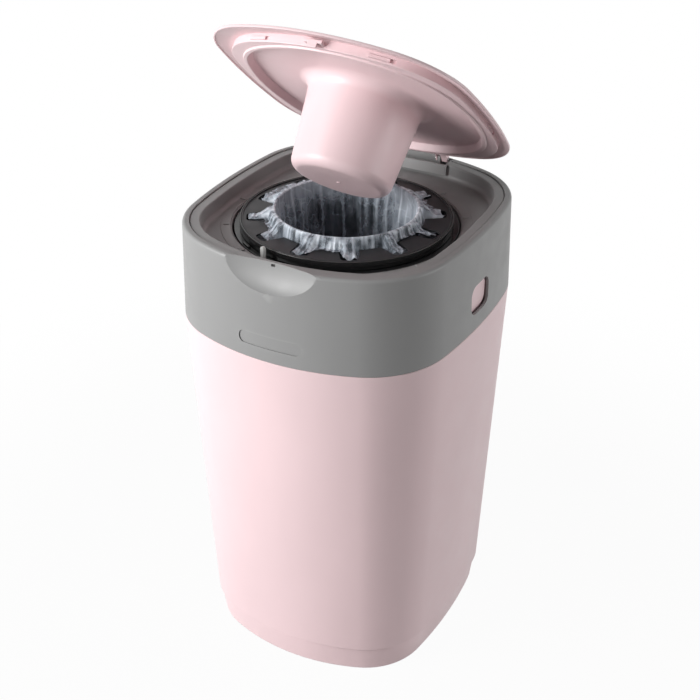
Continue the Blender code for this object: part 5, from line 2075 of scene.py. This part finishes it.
    def build(self) -> None:
        """Model the lid's three mouldings, open them and hang them in the frame."""
        finishes = self.finishes
        cover = self.cover()
        liner = self.liner()
        self.add_snaps(liner)
        self.add_gate_mark(liner)
        for piece, node in ((cover, "lid_cover"), (liner, "lid_liner"), (self.latch(), "lid_latch")):
            self.swing(piece)
            finishes.deliver(piece, finishes.pink, "pale_pink_plastic", "lid", node)


@dataclass(frozen=True)
class SoftLight:
    """A square soft light that faces the object from a bearing, 0 at +X and 90 at +Y."""

    name: str
    bearing: float
    elevation: float
    distance: float
    size: float
    power: float

    def hang(self, aim: Vector) -> None:
        """Hang the light and turn it to the point that it aims at."""
        Hand.rest()
        level = cos(radians(self.elevation))
        away = Vector((level * cos(radians(self.bearing)), level * sin(radians(self.bearing)),
                       sin(radians(self.elevation))))
        bpy.ops.object.light_add(type='AREA', location=aim + away * self.distance)
        lamp = bpy.context.object
        lamp.name = self.name
        lamp.data.energy = self.power
        lamp.data.shape = 'SQUARE'
        lamp.data.size = self.size
        lamp.rotation_euler = away.to_track_quat('Z', 'Y').to_euler()


@dataclass
class Studio:
    """The pale floor, the soft lights, the white surround and the camera."""

    aim: Vector = field(default_factory=lambda: Vector((0, 0, 0.2795)))
    camera_place: Vector = field(default_factory=lambda: Vector((0.52054, -0.96885, 0.9262)))
    lens: float = 69.88
    sensor: float = 36.0
    floor_size: float = 12.0
    floor_colour: Colour = (0.5, 0.5, 0.5)
    floor_glow: float = 0.96
    shadow_reach: float = 0.3
    shadow_fade: float = 0.45
    world_strength: float = 0.09
    lights: tuple[SoftLight, ...] = (
        SoftLight("key_light", bearing=-128, elevation=20, distance=1.6, size=0.95, power=31.5),
        SoftLight("side_light", bearing=16, elevation=14, distance=1.6, size=0.8, power=9.0),
    )

    def lay_floor(self) -> None:
        """Lay the floor, which fades from a pale floor with the object's shadow to white further out."""
        Hand.rest()
        bpy.ops.mesh.primitive_plane_add(size=self.floor_size)
        floor = Hand.name(bpy.context.object, "studio_floor")
        material = bpy.data.materials.new("studio_floor")
        material.use_nodes = True
        graph = Graph(material.node_tree)
        graph.nodes.clear()
        share = graph.maths('MULTIPLY', graph.seen(), self.glow_factor(graph))
        diffuse = graph.put("ShaderNodeBsdfDiffuse", {"Color": self.floor_colour}).outputs["BSDF"]
        glow = graph.put("ShaderNodeEmission", {}).outputs["Emission"]
        mixed = graph.put("ShaderNodeMixShader", {"Fac": share, 1: diffuse, 2: glow})
        graph.put("ShaderNodeOutputMaterial", {"Surface": mixed.outputs["Shader"]})
        floor.data.materials.append(material)

    def glow_factor(self, graph: Graph) -> Socket:
        """How much of the floor is plain white, from the object's foot outwards."""
        place = graph.nodes.new("ShaderNodeTexCoord").outputs["Object"]
        length = graph.put("ShaderNodeVectorMath", {0: place})
        length.operation = 'LENGTH'
        fade = graph.put("ShaderNodeMapRange", {
            "Value": length.outputs["Value"], "From Min": self.shadow_reach,
            "From Max": self.shadow_reach + self.shadow_fade, "To Min": self.floor_glow, "To Max": 1.0})
        fade.interpolation_type = 'SMOOTHSTEP'
        return fade.outputs["Result"]

    def light_world(self) -> None:
        """Surround the scene with a soft light that the camera sees as white."""
        world = bpy.data.worlds.new("studio_surround")
        world.use_nodes = True
        bpy.context.scene.world = world
        graph = Graph(world.node_tree)
        level = graph.put("ShaderNodeMapRange", {"Value": graph.seen(), "To Min": self.world_strength,
                                                 "To Max": 1.0})
        graph.fill(graph.nodes["Background"], {"Color": (1.0, 1.0, 1.0), "Strength": level.outputs["Result"]})

    def set_camera(self) -> None:
        """Stand the camera at the photograph's viewing angle."""
        Hand.rest()
        bpy.ops.object.camera_add(location=self.camera_place)
        camera = bpy.context.object
        camera.name = "portrait_camera"
        camera.data.lens = self.lens
        camera.data.sensor_width = self.sensor
        camera.data.sensor_fit = 'HORIZONTAL'
        camera.rotation_euler = (self.aim - self.camera_place).to_track_quat('-Z', 'Y').to_euler()
        bpy.context.scene.camera = camera

    def build(self) -> None:
        """Set the whole studio."""
        self.set_camera()
        self.lay_floor()
        self.light_world()
        for light in self.lights:
            light.hang(self.aim)
        bpy.context.scene.view_settings.view_transform = 'Standard'


def dress_kept_nodes(finishes: Finishes) -> None:
    """Give the frame's own pins and lock ring their finishes; their shapes stay as they are."""
    for side in Side:
        finishes.dress(frame["nodes"]["hinge_pin_" + side.name.lower()], finishes.steel)
    finishes.dress(frame["nodes"]["carrier_lock_ring"], finishes.black)
    log.info("kept nodes dressed")


def main() -> None:
    """Build every sub-assembly in order, and then the studio."""
    logging.basicConfig(level=logging.INFO, format="%(name)s: %(message)s")
    form = Form()
    finishes = Finishes()
    scoop = Scoop(form)
    pocket = HingePocket(form)
    deck = Deck(form, finishes, scoop)
    collar = Collar(form, finishes, scoop)
    turntable = Turntable(form, finishes, deck)
    Studio().build()
    Tub(form, finishes).build()
    for side in Side:
        ReleaseTab(form, finishes, collar, side).build()
    collar.build(pocket)
    deck.build(pocket)
    ClickPawl(deck, finishes).build()
    turntable.build()
    FilmPack(form, finishes, turntable).build()
    FilmSleeve(form, finishes, turntable).build()
    Lid(form, finishes, pocket).build()
    dress_kept_nodes(finishes)
    Hand.rest()


if __name__ == "__main__":
    main()
